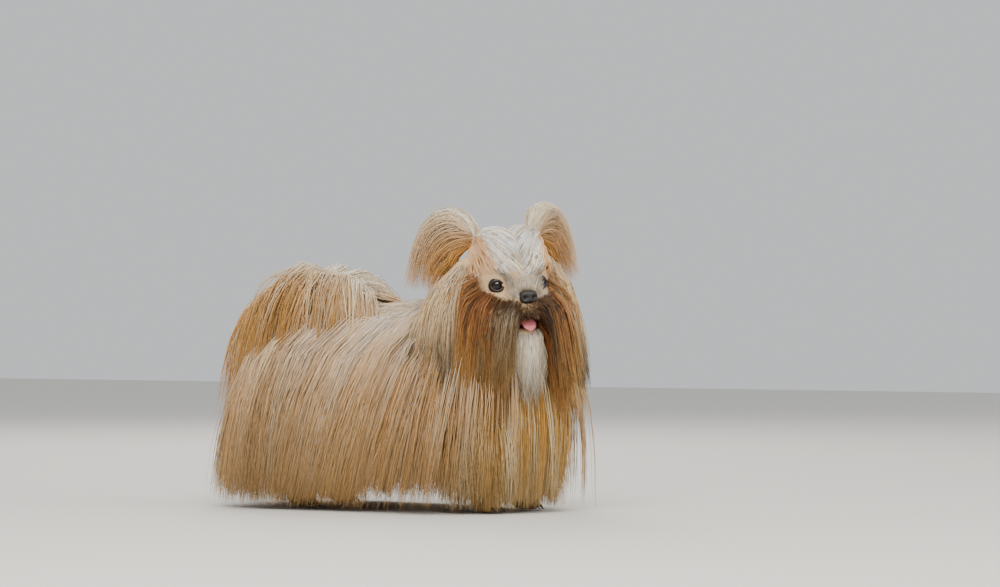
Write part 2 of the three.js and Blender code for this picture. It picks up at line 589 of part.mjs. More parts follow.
// Corners of a surface that fall on one spot are drawn a little apart, each towards its own faces
const APART = 0.02;
function parted({ vertProperties, triVerts }) {
  const corner = (i) => new THREE.Vector3().fromArray(vertProperties, i * 3);
  const spots = new Map();
  for (let i = 0; i < vertProperties.length / 3; i += 1) {
    const key = corner(i).toArray().map((value) => Math.round(value / APART)).join();
    spots.set(key, [...(spots.get(key) ?? []), i]);
  }
  const places = Float32Array.from(vertProperties);
  for (const i of [...spots.values()].filter((shared) => shared.length > 1).flat()) {
    const middle = new THREE.Vector3();
    for (let t = 0; t < triVerts.length; t += 3) {
      const face = [...triVerts.subarray(t, t + 3)];
      if (face.includes(i)) for (const j of face) middle.add(corner(j).sub(corner(i)));
    }
    corner(i).add(middle.setLength(APART)).toArray(places, i * 3);
  }
  return places;
}
const twins = {};
function add(name, make, material, clearOf = []) {
  const draws = seed;
  const whole = make(0).simplify(UNION_DETAIL);
  seed = draws;
  const twin = make(GROWTH);
  const cut = clearOf.length ? whole.subtract(unite(clearOf.map((other) => twins[other]))) : whole;
  const solid = largest(largest(cut).simplify(SMALLEST_EDGE));
  twins[name] = unite([twin, solid]);
  const mesh = solid.getMesh();
  const geometry = new THREE.BufferGeometry();
  geometry.setAttribute("position", new THREE.BufferAttribute(parted(mesh), 3));
  geometry.setIndex(new THREE.BufferAttribute(new Uint32Array(mesh.triVerts), 1));
  const part = new THREE.Mesh(geometry, material);
  part.name = name;
  dog.add(part);
}
const both = (name) => Object.keys(sides).map((side) => `${name}_${side}`);
const addBoth = (name, make, material, clearOf) => {
  for (const [side, sign] of Object.entries(sides)) add(`${name}_${side}`, (grow) => make(sign, grow), material, clearOf);
};

add("nose", nose, blackLeather);
add("tongue", tongue, pinkTongue);
addBoth("eye", eye, darkEye);
add("head", head, paleCoat);
add("jaw", jaw, paleCoat, ["head"]);
addBoth("topknot", bunch, goldCoat, ["head"]);
addBoth("torso", torso, creamCoat, ["head"]);
add("chest", chest, goldCoat, ["head", "jaw"]);
const trunkParts = ["chest", ...both("torso")];
addBoth("ear", ear, creamCoat, ["head", ...both("topknot"), ...trunkParts]);
add("neck", neck, creamCoat, ["head", "jaw", ...trunkParts, ...both("ear")]);
addBoth("leg_front", (side, grow) => leg(frontLegJoints(side), 96, grow), creamCoat, trunkParts);
addBoth("leg_hind", (side, grow) => leg(hindLegJoints(side), 88, grow), creamCoat, trunkParts);
add("tail", tail, goldCoat, [...trunkParts, "neck"]);

// The origin is under the middle of the whole dog.
const whole = new THREE.Box3().setFromObject(dog);
const middle = whole.getCenter(new THREE.Vector3());
for (const part of dog.children) part.geometry.translate(-middle.x, -middle.y, 0);

export default dog;
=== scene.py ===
"""A life-size shih tzu in full show coat, standing with its head turned to its right."""
import math

import bpy
import numpy as np
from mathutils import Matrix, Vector


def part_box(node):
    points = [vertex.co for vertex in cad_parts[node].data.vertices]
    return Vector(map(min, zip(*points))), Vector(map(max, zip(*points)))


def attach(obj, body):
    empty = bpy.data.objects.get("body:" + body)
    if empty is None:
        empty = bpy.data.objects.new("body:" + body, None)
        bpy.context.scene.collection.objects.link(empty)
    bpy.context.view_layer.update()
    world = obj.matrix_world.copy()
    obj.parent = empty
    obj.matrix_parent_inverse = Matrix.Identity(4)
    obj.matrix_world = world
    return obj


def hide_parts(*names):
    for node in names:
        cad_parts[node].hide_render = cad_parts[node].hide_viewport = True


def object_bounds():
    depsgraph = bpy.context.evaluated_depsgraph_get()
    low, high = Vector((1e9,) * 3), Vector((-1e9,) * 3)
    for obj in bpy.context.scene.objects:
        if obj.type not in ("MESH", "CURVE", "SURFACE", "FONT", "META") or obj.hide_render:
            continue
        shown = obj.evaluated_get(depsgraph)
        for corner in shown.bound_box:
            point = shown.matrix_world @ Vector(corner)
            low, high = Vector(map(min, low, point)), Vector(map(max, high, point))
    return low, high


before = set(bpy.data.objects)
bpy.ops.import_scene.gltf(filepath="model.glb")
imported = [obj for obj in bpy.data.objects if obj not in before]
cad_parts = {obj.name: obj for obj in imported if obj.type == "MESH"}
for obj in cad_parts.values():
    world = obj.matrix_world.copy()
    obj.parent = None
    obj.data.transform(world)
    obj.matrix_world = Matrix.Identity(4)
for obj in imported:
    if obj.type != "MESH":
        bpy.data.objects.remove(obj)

cad_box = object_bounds()
MM = 0.001
rng = np.random.default_rng(7)


# The dog's own frame
# Sizes below are in millimetres from a point on the floor under the dog's shoulders. The head has a
# frame of its own, forward, left and up from the middle of the skull.
HEAD_TURN = math.radians(-37)
HEAD_TILT = math.radians(3.5)
SKULL = np.array([161.0, -28.0, 300.0])
EYE = (31.5, 27.5, -6.0)
KNOT = (-7.0, 37.0, 53.0)
turn_matrix = np.array([
    [math.cos(HEAD_TURN), -math.sin(HEAD_TURN), 0],
    [math.sin(HEAD_TURN), math.cos(HEAD_TURN), 0],
    [0, 0, 1],
])
tilt_matrix = np.array([
    [1, 0, 0],
    [0, math.cos(HEAD_TILT), -math.sin(HEAD_TILT)],
    [0, math.sin(HEAD_TILT), math.cos(HEAD_TILT)],
])
HEAD_AXES = turn_matrix @ tilt_matrix


def from_head(p):
    return np.asarray(p, float) @ HEAD_AXES.T + SKULL


def head_way(d):
    return np.asarray(d, float) @ HEAD_AXES.T


def on_side(p, side):
    return (p[0], p[1] * side, p[2])


eye_low, eye_high = (np.array(corner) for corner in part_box("eye_right"))
ORIGIN = (eye_low + eye_high) / 2 / MM - from_head(on_side(EYE, -1))


# Stray hair reaches 5 mm past the box of the solids and no further.
STRAY = 5
BOX_LOW, BOX_HIGH = (np.array(corner) / MM - ORIGIN for corner in cad_box)
BOX_LOW, BOX_HIGH = BOX_LOW - STRAY, BOX_HIGH + STRAY


def in_metres(points):
    return (np.asarray(points, float) + ORIGIN) * MM


# Flesh
# Round masses and limbs as the solids have them. A mass is (middle, radii, axes) and a limb is a
# list of joints (x, y, z, radius).
def mass(at, radii, axes=np.eye(3)):
    return ("mass", np.asarray(at, float), np.asarray(radii, float), axes)


def head_mass(at, radii):
    return mass(from_head(at), radii, HEAD_AXES)


def limb(joints):
    return ("limb", np.asarray(joints, float))


SIDES = {"right": -1, "left": 1}
RIB_X, RUMP_X, BACK_AXIS_Z = 82, -128, 186
FRONT_PAW_X, HIND_PAW_X, PAW_Y = 130, -162, 46
trunk = [
    mass((RIB_X, 0, 181), (100, 61, 68)),
    mass((-30, 0, 188), (120, 56, 58)),
    mass((RUMP_X, 0, 184), (70, 61, 60)),
]
NECK_JOINTS = [(92, 0, 200, 50), (124, -8, 240, 49), (146, -20, 276, 45), (156, -26, 300, 38)]
neck_limb = limb(NECK_JOINTS)
cranium = head_mass((0, 0, 4), (52, 50, 46))
muzzle = head_mass((42, 0, -29), (29, 27, 17))
flews = [head_mass((51, 9.5 * side, -37), (16, 13, 10)) for side in SIDES.values()]
cheeks = [head_mass((20, 25 * side, -28), (25, 23, 26)) for side in SIDES.values()]
throat = head_mass((5, 0, -42), (34, 34, 28))
chin = head_mass((38, 0, -67), (27, 21, 10))
face_forms = [cranium, muzzle, *flews, *cheeks, throat, chin]
FRONT_LEG = [(112, 42, 146, 25), (108, PAW_Y, 108, 20), (124, PAW_Y, 62, 14), (FRONT_PAW_X, PAW_Y, 16, 13)]
HIND_LEG = [(-134, 38, 150, 32), (-124, 47, 102, 24), (-168, PAW_Y, 58, 13), (HIND_PAW_X, PAW_Y, 16, 12)]
legs = {
    f"{name}_{side_name}": [(x, y * side, z, r) for x, y, z, r in joints]
    for name, joints in (("front", FRONT_LEG), ("hind", HIND_LEG)) for side_name, side in SIDES.items()
}
leg_columns = [
    limb([(x - 4, PAW_Y * side, 120, 30), (x, PAW_Y * side, 0, 30)])
    for x in (FRONT_PAW_X, HIND_PAW_X) for side in SIDES.values()
]
body_forms = [*trunk, *leg_columns]
body_and_neck = [*body_forms, neck_limb]
TAIL_JOINTS = [
    (-168, 0, 220, 11), (-186, 0, 254, 10), (-174, -2, 288, 9), (-142, -6, 306, 8), (-108, -12, 302, 7),
    (-82, -18, 286, 5),
]


def length_of(v):
    return np.linalg.norm(v, axis=-1)


def unit(v):
    return v / np.maximum(length_of(v)[..., None], 1e-9)


def outside(form, p):
    """How far each point is outside one form."""
    if form[0] == "mass":
        _, at, radii, axes = form
        q = (p - at) @ axes / radii
        size = length_of(q)
        return size * (size - 1) / np.maximum(length_of(q / radii), 1e-9)
    least = np.full(len(p), np.inf)
    joints = form[1]
    for a, b in zip(joints[:-1], joints[1:]):
        along = b[:3] - a[:3]
        t = np.clip((p - a[:3]) @ along / (along @ along), 0, 1)
        least = np.minimum(least, length_of(p - a[:3] - t[:, None] * along) - (a[3] + (b[3] - a[3]) * t))
    return least


FILLET = 26


def clearance(forms, p):
    """How far each point is outside forms that melt into each other over a fillet."""
    total = outside(forms[0], p)
    for form in forms[1:]:
        d = outside(form, p)
        share = np.maximum(FILLET - np.abs(total - d), 0) / FILLET
        total = np.minimum(total, d) - share * share * FILLET * 0.25
    return total


def outward(forms, p):
    steps = np.eye(3) * 0.5
    return unit(np.stack([clearance(forms, p + step) - clearance(forms, p - step) for step in steps], axis=-1))


def on_surface(forms, start, way):
    """Where rays from 200 mm out meet the forms, or the forms' nearest points to rays that miss."""
    way = unit(way)
    p = np.asarray(start, float) + way * 200
    left = np.full(len(p), 200.0)
    for _ in range(45):
        step = np.minimum(clearance(forms, p) * 0.85, left)
        left = left - step
        p = p - way * step[:, None]
    for _ in range(5):
        p = p - outward(forms, p) * clearance(forms, p)[:, None]
    return p


EYE_LOOK = math.radians(20)


def keeps_off_eyes(paths, distance):
    """Which lines of hair stay this far from both lines of sight."""
    clear = np.ones(len(paths), bool)
    for side in SIDES.values():
        off = paths - from_head(on_side(EYE, side))
        sight = head_way((math.cos(EYE_LOOK), side * math.sin(EYE_LOOK), 0))
        ahead = off @ sight
        beside = length_of(off - ahead[..., None] * sight)
        clear = clear & np.all((beside > distance) | (ahead < 0), axis=1)
    return clear


# Falling hair
# A line of hair leaves its root along the lie, bends towards its fall, keeps its layer's depth off
# the forms below it, and ends at its length or just above the floor.
LINE_POINTS = 6
FLOOR_CLEARANCE = 2.0


def resampled(fine, counts, points=LINE_POINTS):
    at = (counts - 1)[:, None] * np.linspace(0, 1, points)[None]
    low = np.clip(np.floor(at).astype(int), 0, fine.shape[1] - 2)
    share = (at - low)[..., None]
    rows = np.arange(len(fine))[:, None]
    return fine[rows, low] * (1 - share) + fine[rows, low + 1] * share


def falling(root, lie, fall, length, rests, stiffness=0.86, rise=45, steps=34):
    step = length / steps
    down, way, p = unit(fall), unit(lie), root.copy()
    fine = [p.copy()]
    counts = np.ones(len(p))
    alive = np.ones(len(p), bool)
    for i in range(1, steps + 1):
        way = unit(way * stiffness + down * (1 - stiffness))
        before = p
        p = p + way * step[:, None]
        for forms, depth in rests:
            lack = depth * np.minimum(1, 0.2 + i * step / rise) - clearance(forms, p)
            p = np.where((lack > 0)[:, None], p + outward(forms, p) * lack[:, None], p)
        way = unit(p - before)
        alive = alive & (p[:, 2] > FLOOR_CLEARANCE)
        counts = counts + alive
        p = np.where(alive[:, None], p, before)
        fine.append(p.copy())
    return resampled(np.stack(fine, axis=1), counts)


def outs_along(forms, paths):
    flat = paths.reshape(-1, 3)
    return outward(forms, flat).reshape(paths.shape)


# Colour
# Hair colours as sRGB hex, turned to linear once here.
def linear(hex_colour):
    values = np.array([int(hex_colour[i:i + 2], 16) / 255 for i in (1, 3, 5)])
    return np.where(values <= 0.04045, values / 12.92, ((values + 0.055) / 1.055) ** 2.4)


def rgba(hex_colour):
    return (*linear(hex_colour), 1)


def blend_colours(stops, t):
    """Mixes hair colours given as (place, hex) stops at each place t."""
    places = [place for place, _ in stops]
    table = np.array([linear(colour) for _, colour in stops])
    return np.stack([np.interp(t, places, table[:, i]) for i in range(3)], axis=-1)


# Nodes
def add_node(tree, kind, inputs=None, **settings):
    """Adds a node, sets its properties, and sets or links its inputs by name or number."""
    node = tree.nodes.new(kind)
    for key, value in settings.items():
        setattr(node, key, value)
    for key, value in (inputs or {}).items():
        if isinstance(value, bpy.types.NodeSocket):
            tree.links.new(value, node.inputs[key])
        else:
            node.inputs[key].default_value = value
    return node


def new_material(name, roughness, specular=0.5):
    """A material whose principled shader is ready for its colour and bump."""
    material = bpy.data.materials.new(name)
    material.use_nodes = True
    shader = material.node_tree.nodes["Principled BSDF"]
    shader.inputs["Roughness"].default_value = roughness
    shader.inputs["Specular IOR Level"].default_value = specular
    return material, material.node_tree, shader


def hair_material(name, roughness):
    """Silky hair: each strand has its own colour, with fine lighter and darker stretches along it."""
    material, tree, shader = new_material(name, roughness, 0.32)
    colour = add_node(tree, "ShaderNodeAttribute", attribute_name="hair_colour")
    place = add_node(tree, "ShaderNodeTexCoord")
    noise = add_node(
        tree, "ShaderNodeTexNoise", {"Vector": place.outputs["Object"], "Scale": 160.0, "Detail": 3.0}
    )
    shade = add_node(
        tree, "ShaderNodeMapRange", {"Value": noise.outputs["Fac"], "To Min": 0.8, "To Max": 1.18}
    )
    mixed = add_node(tree, "ShaderNodeVectorMath", {0: colour.outputs["Color"]}, operation="SCALE")
    tree.links.new(shade.outputs["Result"], mixed.inputs["Scale"])
    tree.links.new(mixed.outputs["Vector"], shader.inputs["Base Color"])
    return material


silky_hair = hair_material("silky_coat_hair", 0.5)
face_hair = hair_material("fine_face_hair", 0.55)


# Strands
# Geometry Nodes sweeps a three-sided section along every chain of points, as wide as each point says.
def sweep_tree(material):
    tree = bpy.data.node_groups.new("swept_strands", "GeometryNodeTree")
    tree.interface.new_socket("Geometry", in_out="INPUT", socket_type="NodeSocketGeometry")
    tree.interface.new_socket("Width", in_out="INPUT", socket_type="NodeSocketFloat")
    tree.interface.new_socket("Geometry", in_out="OUTPUT", socket_type="NodeSocketGeometry")
    given = add_node(tree, "NodeGroupInput")
    width = add_node(tree, "GeometryNodeInputNamedAttribute", {"Name": "half_width"}, data_type="FLOAT")
    scaled = add_node(
        tree, "ShaderNodeMath", {0: width.outputs["Attribute"], 1: given.outputs["Width"]},
        operation="MULTIPLY"
    )
    curve = add_node(tree, "GeometryNodeMeshToCurve", {"Mesh": given.outputs["Geometry"]})
    section = add_node(tree, "GeometryNodeCurvePrimitiveCircle", {"Resolution": 3, "Radius": 1.0})
    swept = add_node(tree, "GeometryNodeCurveToMesh", {
        "Curve": curve.outputs["Curve"], "Profile Curve": section.outputs["Curve"],
        "Scale": scaled.outputs["Value"],
        "Fill Caps": True,
    })
    real = add_node(tree, "GeometryNodeRealizeInstances", {"Geometry": swept.outputs["Mesh"]})
    painted = add_node(
        tree, "GeometryNodeSetMaterial", {"Geometry": real.outputs["Geometry"], "Material": material}
    )
    result = add_node(tree, "NodeGroupOutput")
    tree.links.new(painted.outputs["Geometry"], result.inputs["Geometry"])
    return tree


SECTION_CORNERS = 3
PATCH = 0.003
STRAND_FLOATS = ("half_width", "unwrap_u", "unwrap_v", "along")


def strand_piece(name, points, half_widths, colours, places, material):
    """Makes one piece of coat from strands of points, with a baking map laid out by their roots."""
    count, per = points.shape[:2]
    chain = bpy.data.meshes.new(name + "_chains")
    first = np.arange(count * per).reshape(count, per)
    edges = np.stack([first[:, :-1].ravel(), first[:, 1:].ravel()], axis=1)
    chain.from_pydata(in_metres(points.reshape(-1, 3)).tolist(), edges.tolist(), [])
    along = np.broadcast_to(np.linspace(0, 1, per), (count, per))
    values = (half_widths * MM, np.repeat(places[:, :1], per, 1), np.repeat(places[:, 1:], per, 1), along)
    for key, value in zip(STRAND_FLOATS, values):
        chain.attributes.new(key, "FLOAT", "POINT").data.foreach_set(
            "value", value.astype(np.float32).ravel()
        )
    paint = np.concatenate([colours, np.ones((count, per, 1))], axis=-1)
    chain.attributes.new("hair_colour", "FLOAT_COLOR", "POINT").data.foreach_set(
        "color", paint.astype(np.float32).ravel()
    )
    source = bpy.data.objects.new(name + "_chains", chain)
    bpy.context.collection.objects.link(source)
    modifier = source.modifiers.new("sweep", "NODES")
    modifier.node_group = sweep_tree(material)
    width_socket = modifier.node_group.interface.items_tree["Width"].identifier
    modifier[width_socket] = 1.0
    graph = bpy.context.evaluated_depsgraph_get()
    mesh = bpy.data.meshes.new_from_object(source.evaluated_get(graph))
    bpy.data.objects.remove(source)
    corners = np.empty(len(mesh.loops), np.int32)
    mesh.loops.foreach_get("vertex_index", corners)
    read = {}
    for key in STRAND_FLOATS[1:]:
        read[key] = np.empty(len(mesh.vertices), np.float32)
        mesh.attributes[key].data.foreach_get("value", read[key])
    across = (np.arange(len(mesh.vertices)) % SECTION_CORNERS) / (SECTION_CORNERS - 1)
    u = read["unwrap_u"] + PATCH * across
    v = read["unwrap_v"] + PATCH * read["along"]
    layer = mesh.uv_layers.new(name="OFBake")
    layer.data.foreach_set("uv", np.stack([u[corners], v[corners]], axis=1).astype(np.float32).ravel())
    mesh.shade_smooth()
    piece = bpy.data.objects.new(name, mesh)
    bpy.context.collection.objects.link(piece)
    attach(piece, "root")
    return piece


def coat(name, paths, outs, places, root_colour, mid_colour, tip_colour, *, strands=6, spread=5.0, layer=5.0,
         width=1.1, clump=0.55, wave=1.2, sway=0.0, shortest=0.82, streak=0.1, material=None):
    """Grows strands beside every line, drawn together towards its tip, and makes them one piece."""
    count, per = paths.shape[:2]
    which = np.repeat(np.arange(count), strands)
    n = len(which)
    t = np.linspace(0, 1, per)[None, :]
    tangent = unit(np.gradient(paths, axis=1))
    sideways = unit(np.cross(tangent, outs))
    swing = sway * np.sin(
        2 * math.pi * (rng.uniform(0.3, 0.9, count)[:, None] * t + rng.random(count)[:, None])
    ) * t
    paths = paths + sideways * swing[..., None]
    across = np.clip(rng.normal(0, spread, n), -2 * spread, 2 * spread)[:, None]
    lift = rng.uniform(-0.3, 1, n)[:, None] * layer
    gather = 1 - clump * t ** 1.3
    fray = 1 + rng.normal(0, 0.35, n)[:, None] * t
    ripple = wave * np.sin(
        2 * math.pi * (rng.uniform(0.6, 1.8, n)[:, None] * t + rng.random(n)[:, None])
    ) * t
    points = paths[which] + sideways[which] * (across * gather * fray + ripple)[..., None]
    points = points + outs[which] * (
        lift * np.minimum(1, 0.25 + 2.5 * t) * (1 - 0.35 * t) * fray
    )[..., None]
    points[:, 0] = paths[which, 0] + sideways[which, 0] * across - outs[which, 0] * 3
    reach = rng.uniform(shortest, 1, n)
    points = resampled(points, 1 + (per - 1) * reach, per)
    points[..., :2] = np.clip(points[..., :2], BOX_LOW[:2], BOX_HIGH[:2])
    points[..., 2] = np.maximum(points[..., 2], 1.2)
    bold = rng.uniform(0.75, 1.25, n)[:, None]
    half_widths = 0.5 * width * bold * np.minimum(1, 0.55 + 2.5 * t) * (1 - 0.86 * t ** 2.2)
    early = np.clip(t * 2, 0, 1)[..., None]
    late = np.clip(t * 2 - 1, 0, 1)[..., None]
    colours = root_colour[which][:, None] * (1 - early) + mid_colour[which][:, None] * early
    colours = colours * (1 - late) + tip_colour[which][:, None] * late
    lock_shade = rng.normal(0, streak, count)[which]
    shade = np.exp(lock_shade + rng.normal(0, streak * 0.7, n))
    warm = np.exp(rng.normal(0, 0.05, count)[which])
    tint = np.stack([shade * warm, shade, shade / warm ** 2], axis=-1)
    colours = np.clip(colours * tint[:, None], 0.004, 0.92)
    spot = places[which] + rng.uniform(-0.004, 0.004, (n, 2))
    spot = np.clip(spot, 0.002, 0.994)
    return strand_piece(name, points, half_widths, colours, spot, material or silky_hair)


# Coat of the trunk
# Hair parts along the spine, sweeps back and falls to the floor. Hair that grows higher lies further
# out. White on the back, peach and tan down the sides, gold and grey at the hips.
SPINE_HEX, FLANK_HEX, LOW_HEX = "#efe6d8", "#cfa271", "#b08b58"
for side_name, side in SIDES.items():
    for part, low_angle, high_angle, guides in (("back", 2, 42, 640), ("flank", 42, 108, 560)):
        along = rng.random(guides)
        angle = np.radians(rng.uniform(low_angle, high_angle, guides))
        on_rump = along > 0.7
        x = np.where(on_rump, RUMP_X, 118 - (118 - RUMP_X) * along / 0.7)
        turn = np.radians(np.where(on_rump, (along - 0.7) / 0.3 * 92, 0))
        flat = np.sin(np.where(on_rump, np.maximum(angle, math.radians(18)), angle))
        way = np.stack([-flat * np.sin(turn), side * flat * np.cos(turn), np.cos(angle)], axis=-1)
        start = np.stack([x, np.zeros(guides), np.full(guides, BACK_AXIS_Z)], axis=-1)
        root = on_surface(trunk, start, way)
        height = 1 - np.degrees(angle) / 108
        depth = 3 + 17 * height ** 0.8 + rng.uniform(-1.5, 1.5, guides)
        middle = np.clip(root[:, 0], RUMP_X, RIB_X)
        away = unit(np.stack([root[:, 0] - middle, root[:, 1] + 6 * side, np.zeros(guides)], axis=-1))
        sweep = np.interp(root[:, 0], [-190, -120, 0, 70, 120], [0.0, 0.08, 0.22, 0.24, 0.1])
        sweep = sweep + rng.normal(0, 0.035, guides)
        ease = np.interp(root[:, 0], [-190, RUMP_X], [0.15, 1])
        lie = np.stack([away[:, 0] * ease - 0.4 * ease, away[:, 1] * ease, 0.1 - 0.6 * (1 - ease)], axis=-1)
        fall = np.stack([away[:, 0] * 0.03 - sweep, away[:, 1] * 0.03, -np.ones(guides)], axis=-1)
        length = (185 + 170 * height) * rng.uniform(0.94, 1.06, guides)
        paths = falling(root, lie, fall, length, [(body_forms, depth)])
        backness = np.interp(root[:, 0], [-170, -60, 60], [1, 0.35, 0])[:, None]
        pale = np.clip(1.5 - np.degrees(angle) / 28, 0, 1)[:, None]
        root_colour = pale * linear(SPINE_HEX) + (1 - pale) * linear(FLANK_HEX)
        mid_colour = linear("#cb9d62") * (1 - 0.5 * backness) + linear("#bf8a42") * 0.5 * backness
        mid_colour = 0.35 * pale * linear("#e2d0b4") + (1 - 0.35 * pale) * mid_colour
        streaked = (rng.random(guides) < 0.22)[:, None]
        mid_colour = np.where(streaked, linear("#e3cba6"), mid_colour)
        grey = (rng.random(guides) < 0.35)[:, None] * np.clip(backness * 1.2, 0, 1)
        tip_colour = linear(LOW_HEX) * (1 - 0.5 * grey) + linear("#8d7c62") * 0.5 * grey
        places = np.stack([0.01 + 0.96 * along, 0.01 + 0.96 * np.degrees(angle) / 112], axis=-1)
        coat(f"coat_{part}_{side_name}", paths, outs_along(body_forms, paths), places, root_colour, mid_colour,
             tip_colour, strands=5, spread=7.5, layer=5, width=1.2, clump=0.2, wave=2.8,
             sway=6,
             shortest=0.86, streak=0.08)

# Coat of the chest
# Golden hair with pale streaks that falls in front of the forelegs to the floor.
guides = 620
turn = np.radians(rng.uniform(-98, 98, guides))
height = rng.uniform(135, 238, guides)
way = np.stack([np.cos(turn), np.sin(turn), np.zeros(guides)], axis=-1)
start = np.stack([np.full(guides, 112.0), np.zeros(guides), height], axis=-1)
root = on_surface([*trunk, neck_limb], start, way)
depth = 4 + 15 * (height - 135) / 103 + rng.uniform(-1.5, 1.5, guides)
lie = way * 0.4 + np.array([0, 0, -0.9])
fall = way * np.array([-0.14, -0.14, 0]) + rng.normal(0, 0.035, (guides, 3)) + np.array([0, 0, -1.0])
length = (height + 12) * rng.uniform(0.9, 1.06, guides)
paths = falling(root, lie, fall, length, [(body_forms, depth)])
pale = (rng.random(guides) < 0.3)[:, None]
mid_colour = np.where(pale, linear("#dcc79c"), linear("#b7893f"))
tip_colour = np.where(pale, linear("#cdb88e"), linear("#a98a55"))
places = np.stack(
    [0.01 + 0.96 * (np.degrees(turn) + 98) / 196, 0.01 + 0.96 * (height - 135) / 103], axis=-1
)
coat("coat_chest", paths, outs_along(body_forms, paths), places, np.tile(linear("#b88a44"), (guides, 1)), mid_colour,
     tip_colour, strands=6, spread=6.5, layer=6, width=1.2, clump=0.3, wave=2.8, sway=6,
     shortest=0.84)

# Coat of the neck
# A mane that lies over the shoulders and the start of the back, cream above and gold below.
guides = 520
turn = np.radians(rng.uniform(-118, 118, guides) + 180 - 30)
height = rng.uniform(238, 296, guides)
way = np.stack([np.cos(turn), np.sin(turn), np.full(guides, 0.15)], axis=-1)
root = on_surface(
    [neck_limb], np.stack([np.full(guides, 134.0), np.full(guides, -14.0), height], axis=-1), way
)
depth = 17 + 8 * (height - 238) / 58 + rng.uniform(-1.5, 1.5, guides)
lie = way + np.array([0, 0, -0.45])
fall = way * np.array([0.2, 0.2, 0]) + np.array([-0.08, 0, -1.0])
length = rng.uniform(130, 175, guides)
paths = falling(root, lie, fall, length, [(face_forms, np.full(guides, 4.0)), (body_and_neck, depth)])
root_colour = np.tile(linear("#e6d3b3"), (guides, 1))
behind = np.clip(1.3 - np.abs(np.degrees(turn) - 165) / 70, 0, 1)[:, None]
mid_colour = np.where((rng.random(guides) < 0.3)[:, None], linear("#e9dcc6"), linear("#cfa066"))
mid_colour = behind * linear("#e6dccb") + (1 - behind) * mid_colour
tip_colour = behind * linear("#ddc9a8") + (1 - behind) * linear("#bd8f4c")
places = np.stack([0.01 + 0.96 * (np.degrees(turn) - 32) / 236, 0.01 + 0.96 * (height - 238) / 58], axis=-1)
coat("coat_neck", paths, outs_along(body_and_neck, paths), places, root_colour, mid_colour, tip_colour,
     strands=6, spread=6.5, layer=5, width=1.15, clump=0.3, wave=3.0, sway=7)

# Tail
# The plume: white and fluffy over the arch of the tail, then a golden fall over the near hip.
guides = 560
tail_points = np.array(TAIL_JOINTS, float)
stretch = rng.random(guides)
side = np.where(rng.random(guides) < 0.55, -1.0, 1.0)
at = 0.08 + 0.92 * stretch
spine = np.stack([np.interp(at * 5, np.arange(6), tail_points[:, i]) for i in range(3)], axis=-1)
back = np.clip(0.6 - at, 0, 1) * 1.7
root = spine + np.stack(
    [-6 * back, 4 * side, np.full(guides, 5.0)], axis=-1
) + rng.normal(0, 2, (guides, 3))
front = np.clip((at - 0.55) / 0.45, 0, 1)
lie = np.stack([
    1.3 * front - 0.2 - 0.8 * back + rng.normal(0, 0.25, guides), side * (0.75 - 0.5 * back),
    0.55 - 0.4 * front + rng.normal(0, 0.2, guides),
], axis=-1)
fall = np.stack([0.1 * front - 0.1 + rng.normal(0, 0.05, guides), side * 0.04, -np.ones(guides)], axis=-1)
depth = 19 + rng.uniform(-2, 5, guides)
length = rng.uniform(160, 228, guides)
paths = falling(root, lie, fall, length, [(body_forms, depth)])
root_colour = np.tile(linear("#ebe1cc"), (guides, 1))
mid_colour = np.where((rng.random(guides) < 0.55)[:, None], linear("#dcc29a"), linear("#c99750"))
tip_colour = np.where((rng.random(guides) < 0.3)[:, None], linear("#cfae7c"), linear("#bb8536"))
places = np.stack([0.01 + 0.96 * at, 0.25 + 0.2 * side + 0.1 * rng.random(guides)], axis=-1)
coat("coat_tail", paths, outs_along(body_forms, paths), places, root_colour, mid_colour, tip_colour,
     strands=7, spread=7, layer=7, width=1.15, clump=0.3, wave=3.2, sway=7, shortest=0.72)

# Coat of the legs
# Straight hair round each leg down to the paw.
leg_paths, leg_outs, leg_places = [], [], []
for number, joints in enumerate(legs.values()):
    guides = 70
    turn = rng.uniform(0, 2 * math.pi, guides)
    height = rng.uniform(30, 105, guides)
    way = np.stack([np.cos(turn), np.sin(turn), np.zeros(guides)], axis=-1)
    axis = np.array([np.interp(height, [j[2] for j in joints[::-1]], [j[i] for j in joints[::-1]]) for i in (0, 1)]).T
    root = on_surface([limb(joints)], np.concatenate([axis, height[:, None]], axis=1), way)
    paths = falling(
        root, way + np.array([0, 0, -1.0]), way * 0.06 + np.array([0, 0, -1.0]), height,
        [([limb(joints)], np.full(guides, 4.0))]
    )
    leg_paths.append(paths)
    leg_outs.append(outs_along([limb(joints)], paths))
    leg_places.append(
        np.stack([0.01 + 0.24 * number + 0.23 * turn / (2 * math.pi), 0.01 + 0.96 * height / 110], axis=-1)
    )
guides = sum(len(paths) for paths in leg_paths)
coat("coat_legs", np.concatenate(leg_paths), np.concatenate(leg_outs), np.concatenate(leg_places),
     np.tile(linear("#c69a63"), (guides, 1)), np.tile(linear("#b88f58"), (guides, 1)),
     np.tile(linear("#a88455"), (guides, 1)),
     strands=4, spread=5, layer=4, width=1.6, wave=1.5)

